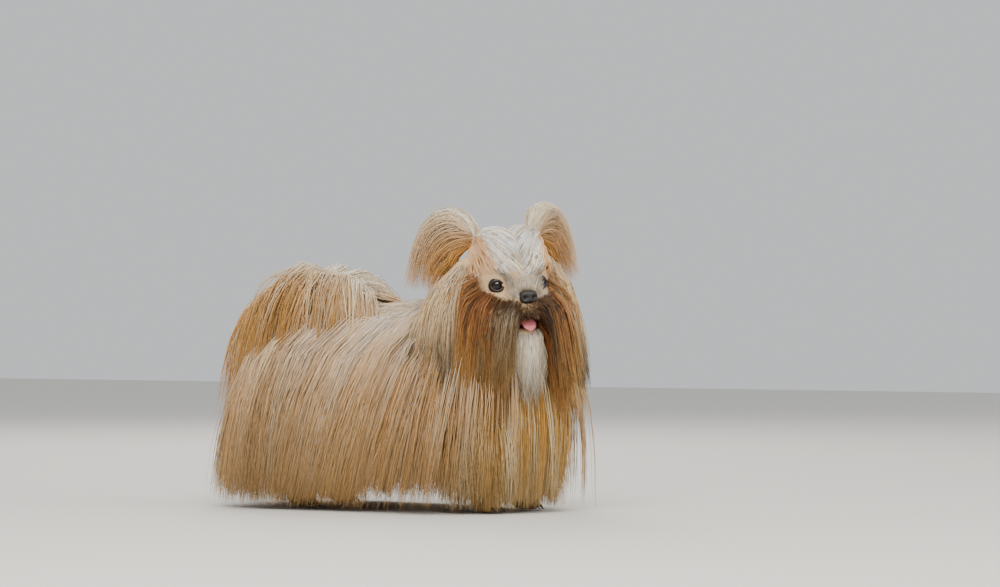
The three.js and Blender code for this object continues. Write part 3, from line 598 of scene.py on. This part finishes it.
# Top of the head
# Hair drawn up over the skull to a tied knot on each side, with a white blaze between the eyes.
DRAWN_POINTS = 6
guides = 940
azimuth = np.radians(
    np.where(rng.random(guides) < 0.3, rng.uniform(-30, 30, guides), rng.uniform(-180, 180, guides))
)
lowest = np.where(np.abs(azimuth) > math.radians(100), -40, -16)
rising = np.radians(lowest + (88 - lowest) * rng.random(guides))
way = np.stack(
    [np.cos(azimuth) * np.cos(rising), np.sin(azimuth) * np.cos(rising), np.sin(rising)], axis=-1
)
root = on_surface([cranium], from_head((0, 0, 4)) + np.zeros((guides, 3)), head_way(way))
from_eye = np.min([length_of(root - from_head(on_side(EYE, side))) for side in SIDES.values()], axis=0)
keep = (from_eye > 12.6) & ((np.degrees(rising) > -8) | (np.abs(np.degrees(azimuth)) > 40))
azimuth, rising, way, root = azimuth[keep], rising[keep], way[keep], root[keep]
guides = len(way)
side = np.where(way[:, 1] + rng.normal(0, 0.13, guides) < 0, -1.0, 1.0)
knot = from_head(np.stack([np.full(guides, KNOT[0]), KNOT[1] * side, np.full(guides, KNOT[2])], axis=-1))
t = np.linspace(0, 1, DRAWN_POINTS)[None, :, None]
paths = root[:, None] * (1 - t) + (knot[:, None] + head_way(way)[:, None] * 3) * t
flat = paths.reshape(-1, 3)
loft = 3 + 18 * np.sin(math.pi * t[..., 0] * 0.85) * np.clip(np.degrees(rising) / 60 + 0.15, 0, 1)[:, None]
for _ in range(3):
    lack = np.maximum(loft.ravel() - clearance([cranium], flat), 0)
    flat = flat + outward([cranium], flat) * lack[:, None]
paths = flat.reshape(paths.shape)
paths[:, 0] = root
keep = keeps_off_eyes(paths, 12.5)
azimuth, rising, way, paths = azimuth[keep], rising[keep], way[keep], paths[keep]
guides = len(paths)
degrees = np.abs(np.degrees(azimuth))
blaze = (degrees < 27) | ((degrees < 70) & (np.degrees(rising) > 50))
panel = (degrees >= 27) & (degrees < 95)
base = np.where(
    blaze[:, None], linear("#ece4d8"), np.where(panel[:, None], linear("#dfb68c"), linear("#dcc7a2"))
)
greyed = ((rng.random(guides) < 0.18) & blaze)[:, None]
base = np.where(greyed, linear("#ab9d8e"), base)
places = np.stack(
    [0.01 + 0.96 * (np.degrees(azimuth) + 180) / 360, 0.3 + 0.65 * np.degrees(rising) / 90], axis=-1
)
coat("coat_head_top", paths, outs_along([cranium], paths), places, base, base * 1.03, base * 0.97,
     strands=5, spread=3.0, layer=3, width=0.95, clump=0.4, wave=0.9, sway=2, shortest=0.97, streak=0.08,
     material=face_hair)

# Hair of the face
# Long hair from under the eyes and the back of the jaw: brown and rust in front, gold behind.
guides = 760
side = np.where(rng.random(guides) < 0.5, -1.0, 1.0)
azimuth = rng.uniform(22, 150, guides)
rising = rng.uniform(-48, 42, guides)
highest = np.interp(azimuth, [22, 45, 60, 88, 92], [0, 5, 17, 19, 42]) + rng.normal(0, 2.5, guides)
rising = np.minimum(rising, highest)
turn, tip = np.radians(azimuth), np.radians(rising)
way = np.stack([np.cos(turn) * np.cos(tip), side * np.sin(turn) * np.cos(tip), np.sin(tip)], axis=-1)
root = on_surface(face_forms, from_head((18, 0, -30)) + np.zeros((guides, 3)), head_way(way))
lie = head_way(np.stack([0.1 * np.cos(turn), 0.75 * side, np.full(guides, -0.7)], axis=-1))
fall = head_way(
    np.stack([np.full(guides, -0.03), 0.12 * side + rng.normal(0, 0.03, guides), -np.ones(guides)], axis=-1)
)
depth = 4 + 5 * (rising + 48) / 90
length = rng.uniform(108, 142, guides)
paths = falling(root, lie, fall, length, [(face_forms, depth), (body_and_neck, 35 + rng.uniform(-2, 3, guides))],
                stiffness=0.72, rise=20)
mix_at = np.clip(azimuth + np.where(side > 0, 25, 0) + rng.normal(0, 9, guides), 22, 150) / 150
root_colour = blend_colours(
    [(0.14, "#5f4022"), (0.3, "#7d4a22"), (0.6, "#9c6434"), (0.85, "#d2ae80")], mix_at
)
mid_colour = blend_colours(
    [(0.14, "#6e4a26"), (0.3, "#8f5a2c"), (0.6, "#b07a42"), (0.85, "#d8b98c")], mix_at
)
tip_colour = blend_colours(
    [(0.14, "#8b6a3c"), (0.3, "#b08044"), (0.6, "#c39856"), (0.85, "#cdb083")], mix_at
)
dark = ((rng.random(guides) < 0.16) & (mix_at < 0.6))[:, None]
root_colour, mid_colour = np.where(dark, linear("#3d2816"), root_colour), np.where(dark, linear("#55391f"), mid_colour)
places = np.stack([0.02 + 0.46 * (side * azimuth + 150) / 150, 0.01 + 0.96 * (rising + 48) / 90], axis=-1)
coat("coat_face", paths, outs_along([*face_forms, neck_limb], paths), places, root_colour, mid_colour, tip_colour,
     strands=5, spread=3.6, layer=4, width=1.0, clump=0.4, wave=2.6, sway=6, shortest=0.7,
     material=face_hair)

# Moustache
# Long dark hair from beside the nose and the upper lip, which falls past the mouth on both sides.
guides = 360
side = np.where(rng.random(guides) < 0.5, -1.0, 1.0)
place_u = rng.uniform(34, 62, guides)
place_v = (10 + (62 - place_u) * 0.75) * rng.uniform(0.9, 1.1, guides)
way = np.stack(
    [place_u - 24, place_v * side, rng.uniform(-9, 6, guides) + rng.normal(0, 2, guides)], axis=-1
)
root = on_surface(face_forms, from_head((24, 0, -32)) + np.zeros((guides, 3)), head_way(way))
lie = head_way(np.stack([np.full(guides, 0.2), 1.0 * side, np.full(guides, -0.3)], axis=-1))
fall = head_way(np.stack([np.full(guides, -0.02), 0.14 * side, -np.ones(guides)], axis=-1))
length = rng.uniform(80, 118, guides)
paths = falling(root, lie, fall, length, [(face_forms, np.full(guides, 6.0)), (body_and_neck, np.full(guides, 37.0))],
                stiffness=0.72, rise=15)
near = (side < 0)[:, None]
brown = (rng.random(guides) < 0.4)[:, None]
grey = (rng.random(guides) < 0.45)[:, None]
near_root = np.where(grey, linear("#8b7b64"), linear("#4a341f"))
near_middle = np.where(grey, linear("#9c8a6e"), linear("#6d5433"))
root_colour = np.where(near, near_root, np.where(brown, linear("#5e4026"), linear("#2a1c10")))
mid_colour = np.where(near, near_middle, np.where(brown, linear("#80592f"), linear("#35251a")))
tip_colour = np.where(near, linear("#94774a"), np.where(brown, linear("#a8804a"), linear("#5e4425")))
places = np.stack(
    [0.02 + 0.46 * (1 + side * (62 - place_u) / 28), 0.02 + 0.9 * (way[:, 2] + 14) / 22], axis=-1
)
coat("coat_moustache", paths, outs_along([*face_forms, neck_limb], paths), places, root_colour, mid_colour, tip_colour,
     strands=7, spread=2.8, layer=4, width=0.8, clump=0.5, wave=2.4, sway=7, shortest=0.62,
     material=face_hair)

# Beard
# White hair from the chin, grey at the tips.
guides = 190
across = rng.uniform(-17, 17, guides)
way = np.stack([rng.uniform(10, 40, guides), across, rng.uniform(-46, -34, guides)], axis=-1)
root = on_surface(face_forms, from_head((24, 0, -30)) + np.zeros((guides, 3)), head_way(way))
lie = head_way(np.stack([np.full(guides, 0.5), across * 0.02, np.full(guides, -0.8)], axis=-1))
fall = head_way(np.stack([np.full(guides, -0.12), across * 0.004, -np.ones(guides)], axis=-1))
length = rng.uniform(66, 98, guides) * (1 - 0.45 * (across / 17) ** 2)
paths = falling(root, lie, fall, length, [(face_forms, np.full(guides, 3.0)), (body_and_neck, np.full(guides, 31.0))],
                stiffness=0.7, rise=15)
places = np.stack([0.02 + 0.95 * (across + 17) / 34, 0.05 + 0.9 * (way[:, 0] - 10) / 30], axis=-1)
coat("coat_beard", paths, outs_along([*face_forms, neck_limb], paths), places, np.tile(linear("#cfc6b6"), (guides, 1)),
     np.tile(linear("#ded3bf"), (guides, 1)), np.tile(linear("#b7a78d"), (guides, 1)),
     strands=8, spread=2.4, layer=4, width=0.8, clump=0.5, wave=3.2, sway=9, shortest=0.6,
     material=face_hair)

# Short hair of the muzzle
# It grows up and out from the nose, pale on the bridge and dark round the mouth.
guides = 900
azimuth = np.radians(rng.uniform(-75, 75, guides))
rising = np.radians(rng.uniform(-20, 60, guides))
way = np.stack(
    [np.cos(azimuth) * np.cos(rising), np.sin(azimuth) * np.cos(rising), np.sin(rising)], axis=-1
)
root = on_surface(face_forms, from_head((38, 0, -32)) + np.zeros((guides, 3)), head_way(way))
local = (root - SKULL) @ HEAD_AXES
clear_of_eyes = np.minimum(*(length_of(local - np.array(on_side(EYE, side))) for side in SIDES.values())) > 14.5
clear_of_nose = length_of((local - np.array((68, 0, -22))) / np.array((10, 13.5, 11))) > 1
keep = clear_of_eyes & clear_of_nose
root, way, local, azimuth, rising = root[keep], way[keep], local[keep], azimuth[keep], rising[keep]
guides = len(root)
above = (local[:, 2] > -24)[:, None]
lie = head_way(
    np.where(
        above, way * np.array([0.2, 1, 1]) + np.array([-0.4, 0, 0.5]),
        way * np.array([0.4, 1, 0.5]) + np.array([0, 0, -0.6])
    )
)
length = rng.uniform(7, 15, guides)
paths = falling(root, lie, head_way(np.tile([0.0, 0.0, -1.0], (guides, 1))), length, [(face_forms, np.full(guides, 2.5))],
                stiffness=0.97, rise=6, steps=10)
keep = keeps_off_eyes(paths, 12.0)
root, local, azimuth, rising, paths = root[keep], local[keep], azimuth[keep], rising[keep], paths[keep]
above, guides = above[keep], len(root)
bridge = np.clip(1.5 - np.abs(local[:, 1]) / 22, 0, 1)[:, None] * above
base = linear("#5c432c") * (1 - bridge) + linear("#d0c3ae") * bridge
places = np.stack(
    [0.01 + 0.96 * (np.degrees(azimuth) + 75) / 150, 0.01 + 0.96 * (np.degrees(rising) + 20) / 80], axis=-1
)
coat("coat_muzzle", paths, outs_along(face_forms, paths), places, base * 0.9, base, base * 1.1,
     strands=3, spread=1.2, layer=1.2, width=0.65, clump=0.3, wave=0.2, material=face_hair)

# Ears
# Long hair from each ear's flap hangs over the neck: cream, with grey streaks and dark tips.
for side_name, side in SIDES.items():
    guides = 420
    flap = head_mass((-12, 62 * side, -14), (26, 7, 46))
    across = rng.uniform(-24, 22, guides)
    height = rng.uniform(-40, 30, guides)
    start = from_head(
        np.stack([-12 + across, np.full(guides, 60.0 * side), height - np.abs(across) * 0.4], axis=-1)
    )
    root = on_surface([flap], start, np.tile(head_way((0, side, 0)), (guides, 1)))
    lie = head_way(np.stack([across * 0.01, np.full(guides, 0.4 * side), np.full(guides, -0.9)], axis=-1))
    fall = head_way(
        np.stack([across * 0.005 - 0.06, np.full(guides, 0.1 * side), -np.ones(guides)], axis=-1)
    )
    length = (142 + height) * rng.uniform(0.92, 1.05, guides)
    depth = 34 + rng.uniform(-2, 4, guides)
    rests = [(face_forms, np.full(guides, 12.0)), ([flap], np.full(guides, 3.0)), (body_and_neck, depth)]
    paths = falling(root, lie, fall, length, rests, stiffness=0.8, rise=20)
    greyed = (rng.random(guides) < 0.22)[:, None]
    root_colour = np.where(greyed, linear("#b9a78c"), linear("#dfc7a0"))
    mid_colour = np.where(greyed, linear("#a6967f"), linear("#d9bd93"))
    dark = (rng.random(guides) < 0.85)[:, None]
    tip_colour = np.where(dark, linear("#3a3028"), linear("#a68a62"))
    places = np.stack([0.01 + 0.96 * (across + 24) / 46, 0.01 + 0.96 * (height + 40) / 70], axis=-1)
    coat(f"coat_ear_{side_name}", paths, outs_along([flap, neck_limb], paths), places, root_colour, mid_colour, tip_colour,
         strands=5, spread=4.2, layer=5, width=1.1, clump=0.35, wave=2.8, sway=8,
         shortest=0.7)

# Tied bunches
# Each bunch springs from its knot, arches outwards and falls beside the head, white above and gold
# beneath.
BUNCH_POINTS = 9
BUNCH_LINE = np.array(
    [(-6, 37, 52), (-14, 45, 76), (-30, 62, 88), (-46, 82, 74), (-56, 96, 40), (-61, 104, -8)], float
)
for side_name, side in SIDES.items():
    guides = 200
    joints = from_head(BUNCH_LINE * np.array([1, side, 1]))
    stops = np.linspace(0, 1, BUNCH_POINTS)
    centre = np.stack([np.interp(stops * 5, np.arange(6), joints[:, i]) for i in range(3)], axis=-1)
    for _ in range(3):
        centre[1:-1] = (centre[:-2] + 2 * centre[1:-1] + centre[2:]) / 4
    tangent = unit(np.gradient(centre, axis=0))
    level = unit(np.cross(tangent, np.array([0, 0, 1.0])))
    upper = np.cross(level, tangent)
    turn = rng.uniform(0, 2 * math.pi, guides)
    share = np.sqrt(rng.random(guides))
    spread = 4 + 16 * np.sin(np.minimum(stops * 1.5, 1) * math.pi * 0.6)
    round_way = np.cos(turn)[:, None, None] * level + np.sin(turn)[:, None, None] * upper
    paths = centre + round_way * (share[:, None] * spread)[..., None]
    chord = joints[0] + (joints[-1] - joints[0]) * stops[:, None]
    drop = (np.clip(0.15 - np.sin(turn), 0, 1) * share * 0.7)[:, None, None]
    paths = paths + (chord - centre) * drop
    above = np.clip(0.5 + 0.6 * np.sin(turn) * share, 0, 1)[:, None]
    gold = linear("#c78f45")
    pale = linear("#e6dac2")
    mid_colour = above * pale + (1 - above) * gold
    places = np.stack([0.01 + 0.96 * turn / (2 * math.pi), 0.01 + 0.96 * share], axis=-1)
    coat(f"coat_bunch_{side_name}", paths, round_way, places, mid_colour * 0.92, mid_colour, 0.5 * mid_colour + 0.5 * gold,
         strands=7, spread=3.8, layer=4, width=1.0, clump=0.35, wave=3.0, sway=5,
         shortest=0.62)

# Skin
# One skin of the masses, melted together, lies under the whole coat. It has the hair's own colour, as
# close undercoat does.
def ball_mesh(form, segments=32):
    _, at, radii, axes = form
    rings = segments // 2
    verts, faces = [], []
    for i in range(1, rings):
        polar = math.pi * i / rings
        for j in range(segments):
            turn = 2 * math.pi * j / segments
            verts.append(
                (math.sin(polar) * math.cos(turn), math.sin(polar) * math.sin(turn), math.cos(polar))
            )
    verts += [(0, 0, 1), (0, 0, -1)]
    for i in range(rings - 2):
        for j in range(segments):
            a, b = i * segments + j, i * segments + (j + 1) % segments
            faces.append((a, a + segments, b + segments, b))
    top, bottom = len(verts) - 2, len(verts) - 1
    last = (rings - 2) * segments
    faces += [(top, j, (j + 1) % segments) for j in range(segments)]
    faces += [(bottom, last + (j + 1) % segments, last + j) for j in range(segments)]
    return (np.array(verts) * radii) @ axes.T + at, faces


def joined(name, parts):
    """One mesh object from several lists of points and faces."""
    points, faces = [], []
    for verts, polygons in parts:
        first = sum(len(group) for group in points)
        points.append(verts)
        faces += [tuple(first + i for i in polygon) for polygon in polygons]
    mesh = bpy.data.meshes.new(name)
    mesh.from_pydata(in_metres(np.concatenate(points)).tolist(), [], faces)
    mesh.update()
    piece = bpy.data.objects.new(name, mesh)
    bpy.context.collection.objects.link(piece)
    return piece


def beads(joints, spacing=4.0):
    """Balls along a limb, close enough to melt into one smooth form."""
    parts = []
    for a, b in zip(joints[:-1], joints[1:]):
        a, b = np.array(a, float), np.array(b, float)
        count = max(2, int(length_of(a[:3] - b[:3]) / spacing))
        for i in range(count + 1):
            j = a + (b - a) * i / count
            parts.append(ball_mesh(mass(j[:3], (j[3],) * 3), 16))
    return parts


def applied(piece):
    """The piece with its modifiers made real."""
    graph = bpy.context.evaluated_depsgraph_get()
    mesh = bpy.data.meshes.new_from_object(piece.evaluated_get(graph))
    piece.modifiers.clear()
    piece.data = mesh
    return piece


skin_parts = [ball_mesh(form) for form in (*trunk, *face_forms)]
skin_parts += beads(NECK_JOINTS, 8) + beads(TAIL_JOINTS)
TOE_SPREAD = (-10.5, -3.6, 3.6, 10.5)
for joints in legs.values():
    x, y = joints[-1][:2]
    skin_parts += beads(joints)
    skin_parts.append(ball_mesh(mass((x + 8, y, 13), (22, 16, 12.5)), 20))
    for across in TOE_SPREAD:
        skin_parts.append(ball_mesh(mass((x + 22 - abs(across) * 0.5, y + across, 8.5), (9, 5, 8)), 16))
for side in SIDES.values():
    skin_parts.append(ball_mesh(head_mass((-12, 60 * side, -12), (23, 4, 44)), 24))
    skin_parts.append(ball_mesh(head_mass((-12, 47 * side, 24), (16, 12, 10)), 16))
skin = joined("skin", skin_parts)
remesh = skin.modifiers.new("melt", "REMESH")
remesh.mode = "VOXEL"
remesh.voxel_size = 3.2 * MM
smooth = skin.modifiers.new("soften", "SMOOTH")
smooth.iterations = 6
applied(skin)
SOCKET_REACH, SOCKET_RADIUS = 13.5, 9.4
skin_points = np.array([v.co for v in skin.data.vertices]) / MM - ORIGIN
for side in SIDES.values():
    middle = from_head(on_side(EYE, side))
    off = skin_points - middle
    inside = length_of(off) < SOCKET_REACH
    skin_points[inside] = middle + unit(off[inside]) * SOCKET_RADIUS
skin.data.vertices.foreach_set("co", in_metres(skin_points).astype(np.float32).ravel())
skin.data.update()
skin.data.shade_smooth()

# Undercoat colour: pale on the back, tan below.
undercoat, tree, shader = new_material("undercoat_skin", 0.8, 0.2)
place = add_node(tree, "ShaderNodeTexCoord")
height = add_node(tree, "ShaderNodeSeparateXYZ", {"Vector": place.outputs["Object"]})
ramp = add_node(
    tree, "ShaderNodeMapRange", {"Value": height.outputs["Z"], "From Min": 0.08, "From Max": 0.26}
)
patchy = add_node(
    tree, "ShaderNodeTexNoise", {"Vector": place.outputs["Object"], "Scale": 60.0, "Detail": 6.0}
)
tone = add_node(
    tree, "ShaderNodeMix", {0: ramp.outputs["Result"], 6: rgba("#8a6a3f"), 7: rgba("#d4b48c")},
    data_type="RGBA"
)
fine = add_node(
    tree, "ShaderNodeMapRange", {"Value": patchy.outputs["Fac"], "To Min": 0.75, "To Max": 1.15}
)
shaded = add_node(tree, "ShaderNodeVectorMath", {0: tone.outputs[2]}, operation="SCALE")
tree.links.new(fine.outputs["Result"], shaded.inputs["Scale"])
tree.links.new(shaded.outputs["Vector"], shader.inputs["Base Color"])
bump = add_node(
    tree, "ShaderNodeBump", {"Height": patchy.outputs["Fac"], "Strength": 0.3, "Distance": 0.001}
)
tree.links.new(bump.outputs["Normal"], shader.inputs["Normal"])
skin.data.materials.clear()
skin.data.materials.append(undercoat)
COATED = ["head", "jaw", "neck", "chest", "tail"]
COATED += [f"{node}_{side}" for node in ("torso", "ear", "topknot", "leg_front", "leg_hind") for side in SIDES]
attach(skin, "root")
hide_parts(*COATED)

# Eyes
# Dark brown eyes with black pupils under a wet, clear surface, 21 mm across.
eye_material, tree, shader = new_material("wet_dark_eye", 0.06, 0.3)
shader.inputs["Coat Weight"].default_value = 0.35
shader.inputs["Coat Roughness"].default_value = 0.02
for side_name, side in SIDES.items():
    eye = joined(f"eyeball_{side_name}", [ball_mesh(head_mass(on_side(EYE, side), (10.5,) * 3), 48)])
    eye.data.shade_smooth()
    layer = eye.data.color_attributes.new("eye_colour", "FLOAT_COLOR", "POINT")
    verts = np.array([v.co for v in eye.data.vertices]) / MM - ORIGIN
    look = head_way((math.cos(math.radians(20)), side * math.sin(math.radians(20)), 0))
    facing = unit(verts - from_head(on_side(EYE, side))) @ look
    angle = np.degrees(np.arccos(np.clip(facing, -1, 1)))
    paint = blend_colours(
        [
            (0, "#040303"), (18, "#050403"), (21, "#1d0f08"), (34, "#28160b"), (38, "#0c0705"),
            (50, "#231711")
        ],
        angle
    )
    layer.data.foreach_set(
        "color", np.concatenate([paint, np.ones((len(paint), 1))], axis=1).astype(np.float32).ravel()
    )
    eye.data.materials.append(eye_material)
    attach(eye, "root")
    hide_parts(f"eye_{side_name}")
eye_paint = add_node(tree, "ShaderNodeAttribute", attribute_name="eye_colour")
tree.links.new(eye_paint.outputs["Color"], shader.inputs["Base Color"])

# Lids, lips and mouth
# Dark, moist rims round the eyes, two thin lips, and a dark ball in the mouth for its black skin and painted shade.
rim_material, tree, shader = new_material("dark_rim_skin", 0.35, 0.5)
place = add_node(tree, "ShaderNodeTexCoord")
grain = add_node(
    tree, "ShaderNodeTexNoise", {"Vector": place.outputs["Object"], "Scale": 900.0, "Detail": 4.0}
)
tone = add_node(
    tree, "ShaderNodeMix", {0: grain.outputs["Fac"], 6: rgba("#0d0a08"), 7: rgba("#2b201a")},
    data_type="RGBA"
)
tree.links.new(tone.outputs[2], shader.inputs["Base Color"])
bump = add_node(
    tree, "ShaderNodeBump", {"Height": grain.outputs["Fac"], "Strength": 0.4, "Distance": 0.0004}
)
tree.links.new(bump.outputs["Normal"], shader.inputs["Normal"])


def rod(path, radii, corners=12, closed=False):
    """A smooth round rod along a path, with pointed ends where it isn't closed."""
    path = np.asarray(path, float)
    count = len(path)
    ahead, behind = (np.roll(path, -1, 0), np.roll(path, 1, 0)) if closed else (
        path[[*range(1, count), -1]], path[[0, *range(count - 1)]]
    )
    tangent = unit(ahead - behind)
    side_way = unit(np.cross(tangent, unit(path - path.mean(0) + 1e-6)))
    up_way = np.cross(side_way, tangent)
    turn = np.linspace(0, 2 * math.pi, corners, endpoint=False)
    ring = np.cos(turn)[None, :, None] * side_way[:, None] + np.sin(turn)[None, :, None] * up_way[:, None]
    verts = (path[:, None] + ring * np.asarray(radii, float)[:, None, None]).reshape(-1, 3)
    faces = []
    for i in range(count if closed else count - 1):
        for j in range(corners):
            k, nxt = (j + 1) % corners, (i + 1) % count
            faces.append((i * corners + j, i * corners + k, nxt * corners + k, nxt * corners + j))
    if not closed:
        faces += [tuple(range(corners))[::-1], tuple(range((count - 1) * corners, count * corners))]
    return verts, faces


rims = []
for side in SIDES.values():
    look = math.radians(20)
    turn = np.linspace(0, 2 * math.pi, 40, endpoint=False)
    wide, tall = np.sin(np.radians(47)) * np.cos(turn), np.sin(np.radians(36)) * np.sin(turn)
    tall = tall * (1 - 0.15 * np.cos(turn) ** 2)
    forward = np.sqrt(np.maximum(0.05, 1 - wide ** 2 - tall ** 2))
    local = np.stack([
        forward * math.cos(look) - wide * math.sin(look), forward * math.sin(look) + wide * math.cos(look),
        tall,
    ], axis=-1)
    middle = np.array((math.cos(look), math.sin(look), 0))
    rings = []
    for out, radius in ((1.0, 11.2), (1.12, 12.0), (1.3, 12.4), (1.6, 12.6), (2.0, 12.2)):
        ring = unit(middle + (local - middle) * out) * radius
        rings.append(from_head((ring + np.array(EYE)) * np.array([1, side, 1])))
    rims.append(rod(rings[0], np.full(40, 1.5), closed=True))
    strip = [
        (k * 40 + j, k * 40 + (j + 1) % 40, (k + 1) * 40 + (j + 1) % 40, (k + 1) * 40 + j)
        for k in range(len(rings) - 1) for j in range(40)
    ]
    rims.append((np.concatenate(rings), strip))
LIP_STEPS = np.linspace(-1, 1, 25)
for bend, drop, corner, low in ((63, -44.5, 27, -4.5), (62, -60.5, 20, 1.5)):
    reach = np.abs(LIP_STEPS)
    path = np.stack([bend - 28 * reach ** 2.2, corner * LIP_STEPS, drop + low * reach ** 2], axis=-1)
    rims.append(rod(from_head(path), 2.3 - 0.7 * reach))
# A dark ball fills the mouth: black skin of the lips and gums, and painted shade for the hollow of the mouth.
rims.append(ball_mesh(head_mass((36, 0, -53), (24, 19, 9)), 28))
rim_piece = joined("rims_lips_and_mouth_shade", rims)
rim_piece.data.shade_smooth()
rim_piece.data.materials.append(rim_material)
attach(rim_piece, "root")

# Nose
# Moist black leather with two nostrils and a groove down the middle, 25 mm wide.
nose_material, tree, shader = new_material("moist_nose_leather", 0.32, 0.55)
place = add_node(tree, "ShaderNodeTexCoord")
cells = add_node(tree, "ShaderNodeTexVoronoi", {"Vector": place.outputs["Object"], "Scale": 1400.0})
tone = add_node(
    tree, "ShaderNodeMix", {0: cells.outputs["Distance"], 6: rgba("#0a0807"), 7: rgba("#221c1a")},
    data_type="RGBA"
)
tree.links.new(tone.outputs[2], shader.inputs["Base Color"])
bump = add_node(
    tree, "ShaderNodeBump", {"Height": cells.outputs["Distance"], "Strength": 0.6, "Distance": 0.0005}
)
tree.links.new(bump.outputs["Normal"], shader.inputs["Normal"])
nose_verts, nose_faces = ball_mesh(mass((0, 0, 0), (1, 1, 1)), 64)
square = np.sign(nose_verts) * np.abs(nose_verts) ** 0.85
nose_local = square * np.array([8.2, 12.0, 9.2])
for side in SIDES.values():
    reach = length_of((square - np.array([0.85, 0.5 * side, -0.12])) / np.array([0.5, 0.26, 0.3]))
    nose_local[:, 0] -= 4.5 * np.exp(-reach ** 2)
groove = np.exp(-(square[:, 1] / 0.08) ** 2) * (square[:, 0] > 0) * (square[:, 2] < 0.3)
nose_local[:, 0] -= 1.0 * groove
nose = joined("nose_pad", [(from_head(nose_local + np.array([68, 0, -22])), nose_faces)])
nose.data.shade_smooth()
nose.data.materials.append(nose_material)
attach(nose, "root")
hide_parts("nose")

# Tongue
# Pink and moist, it rests on the lower lip with a shallow groove down its middle.
tongue_material, tree, shader = new_material("moist_pink_tongue", 0.35, 0.5)
shader.inputs["Subsurface Weight"].default_value = 0.15
shader.inputs["Subsurface Radius"].default_value = (0.004, 0.0015, 0.001)
place = add_node(tree, "ShaderNodeTexCoord")
buds = add_node(
    tree, "ShaderNodeTexNoise", {"Vector": place.outputs["Object"], "Scale": 1300.0, "Detail": 3.0}
)
tone = add_node(
    tree, "ShaderNodeMix", {0: buds.outputs["Fac"], 6: rgba("#c45a64"), 7: rgba("#e08890")},
    data_type="RGBA"
)
tree.links.new(tone.outputs[2], shader.inputs["Base Color"])
bump = add_node(
    tree, "ShaderNodeBump", {"Height": buds.outputs["Fac"], "Strength": 0.4, "Distance": 0.0004}
)
tree.links.new(bump.outputs["Normal"], shader.inputs["Normal"])
TONGUE_LINE = np.array([
    (30, -51.5, 8.5), (44, -51.2, 9.5), (56, -52, 10.4), (64, -55, 10.2), (68.5, -60, 8.6),
    (70.5, -65, 5.0),
])
rows, around = 26, 24
s = np.linspace(0, 5, rows)
line = np.stack([np.interp(s, np.arange(6), TONGUE_LINE[:, i]) for i in range(3)], axis=-1)
slope = unit(np.gradient(line[:, :2], axis=0))
turn = np.linspace(0, 2 * math.pi, around, endpoint=False)
thick = 2.4 * np.minimum(1, (5.3 - s) / 1.2)
across = np.cos(turn)[None] * line[:, 2:3] * np.minimum(1, np.sqrt((5.15 - s) / 0.8))[:, None]
lift = np.sin(turn)[None] * thick[:, None] - 1.1 * np.exp(-(np.cos(turn)[None] / 0.25) ** 2) * (np.sin(turn)[None] > 0)
verts = np.stack(
    [line[:, :1] - slope[:, 1:2] * lift, across, line[:, 1:2] + slope[:, :1] * lift], axis=-1
).reshape(-1, 3)
faces = [
    (
        i * around + j, i * around + (j + 1) % around, (i + 1) * around + (j + 1) % around,
        (i + 1) * around + j
    )
    for i in range(rows - 1) for j in range(around)
]
faces += [tuple(range(around))[::-1], tuple(range((rows - 1) * around, rows * around))]
tongue = joined("tongue_blade", [(from_head(verts), faces)])
tongue.data.shade_smooth()
tongue.data.materials.append(tongue_material)
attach(tongue, "root")
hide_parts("tongue")

# Claws
# Four short, dark claws on each paw.
claws = []
for joints in legs.values():
    x, y = joints[-1][:2]
    for across in TOE_SPREAD:
        s = np.linspace(0, 1, 8)
        start = x + 29 - abs(across) * 0.5
        path = np.stack([start + 7 * s, np.full(8, y + across), 7 - 5.2 * s ** 1.6], axis=-1)
        claws.append(rod(path, 1.7 * (1 - 0.8 * s)))
claw_piece = joined("claws", claws)
claw_piece.data.shade_smooth()
claw_piece.data.materials.append(rim_material)
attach(claw_piece, "root")

# Floor and light
floor_material, tree, shader = new_material("pale_floor", 0.75, 0.2)
shader.inputs["Base Color"].default_value = rgba("#d9d7d2")
bpy.ops.mesh.primitive_plane_add(size=12)
floor = bpy.context.object
floor.name = "floor"
floor.data.materials.append(floor_material)
world = bpy.data.worlds.new("soft_studio")
bpy.context.scene.world = world
world.use_nodes = True
world.node_tree.nodes["Background"].inputs["Color"].default_value = rgba("#eef0f2")
world.node_tree.nodes["Background"].inputs["Strength"].default_value = 0.8
for name, place, size, power in (
    ("key_light", (1.2, -2.2, 2.4), 2.0, 120), ("fill_light", (2.6, 0.4, 1.6), 2.4, 35),
    ("back_light", (-1.6, 1.8, 2.2), 1.6, 55),
):
    light = bpy.data.lights.new(name, "AREA")
    light.size = size
    light.energy = power
    light.color = (1.0, 0.95, 0.88)
    lamp = bpy.data.objects.new(name, light)
    lamp.location = place
    lamp.rotation_euler = (Vector((0, 0, 0.2)) - Vector(place)).to_track_quat("-Z", "Y").to_euler()
    bpy.context.collection.objects.link(lamp)

# Camera
# The photograph looks from the dog's right, 33 degrees round towards its front, at its eye's height.
CAMERA_TURN = math.radians(33)
CAMERA_PLACE = (2777.0, -4077.0, 274.0)
camera_data = bpy.data.cameras.new("camera")
camera_data.lens = 135
camera_data.sensor_width = 36
camera_data.clip_end = 50
camera = bpy.data.objects.new("camera", camera_data)
camera.location = Vector(in_metres(CAMERA_PLACE).tolist())
camera.location.z = CAMERA_PLACE[2] * MM
camera.rotation_euler = (math.radians(90 + 0.1), 0, CAMERA_TURN)
bpy.context.collection.objects.link(camera)
bpy.context.scene.camera = camera
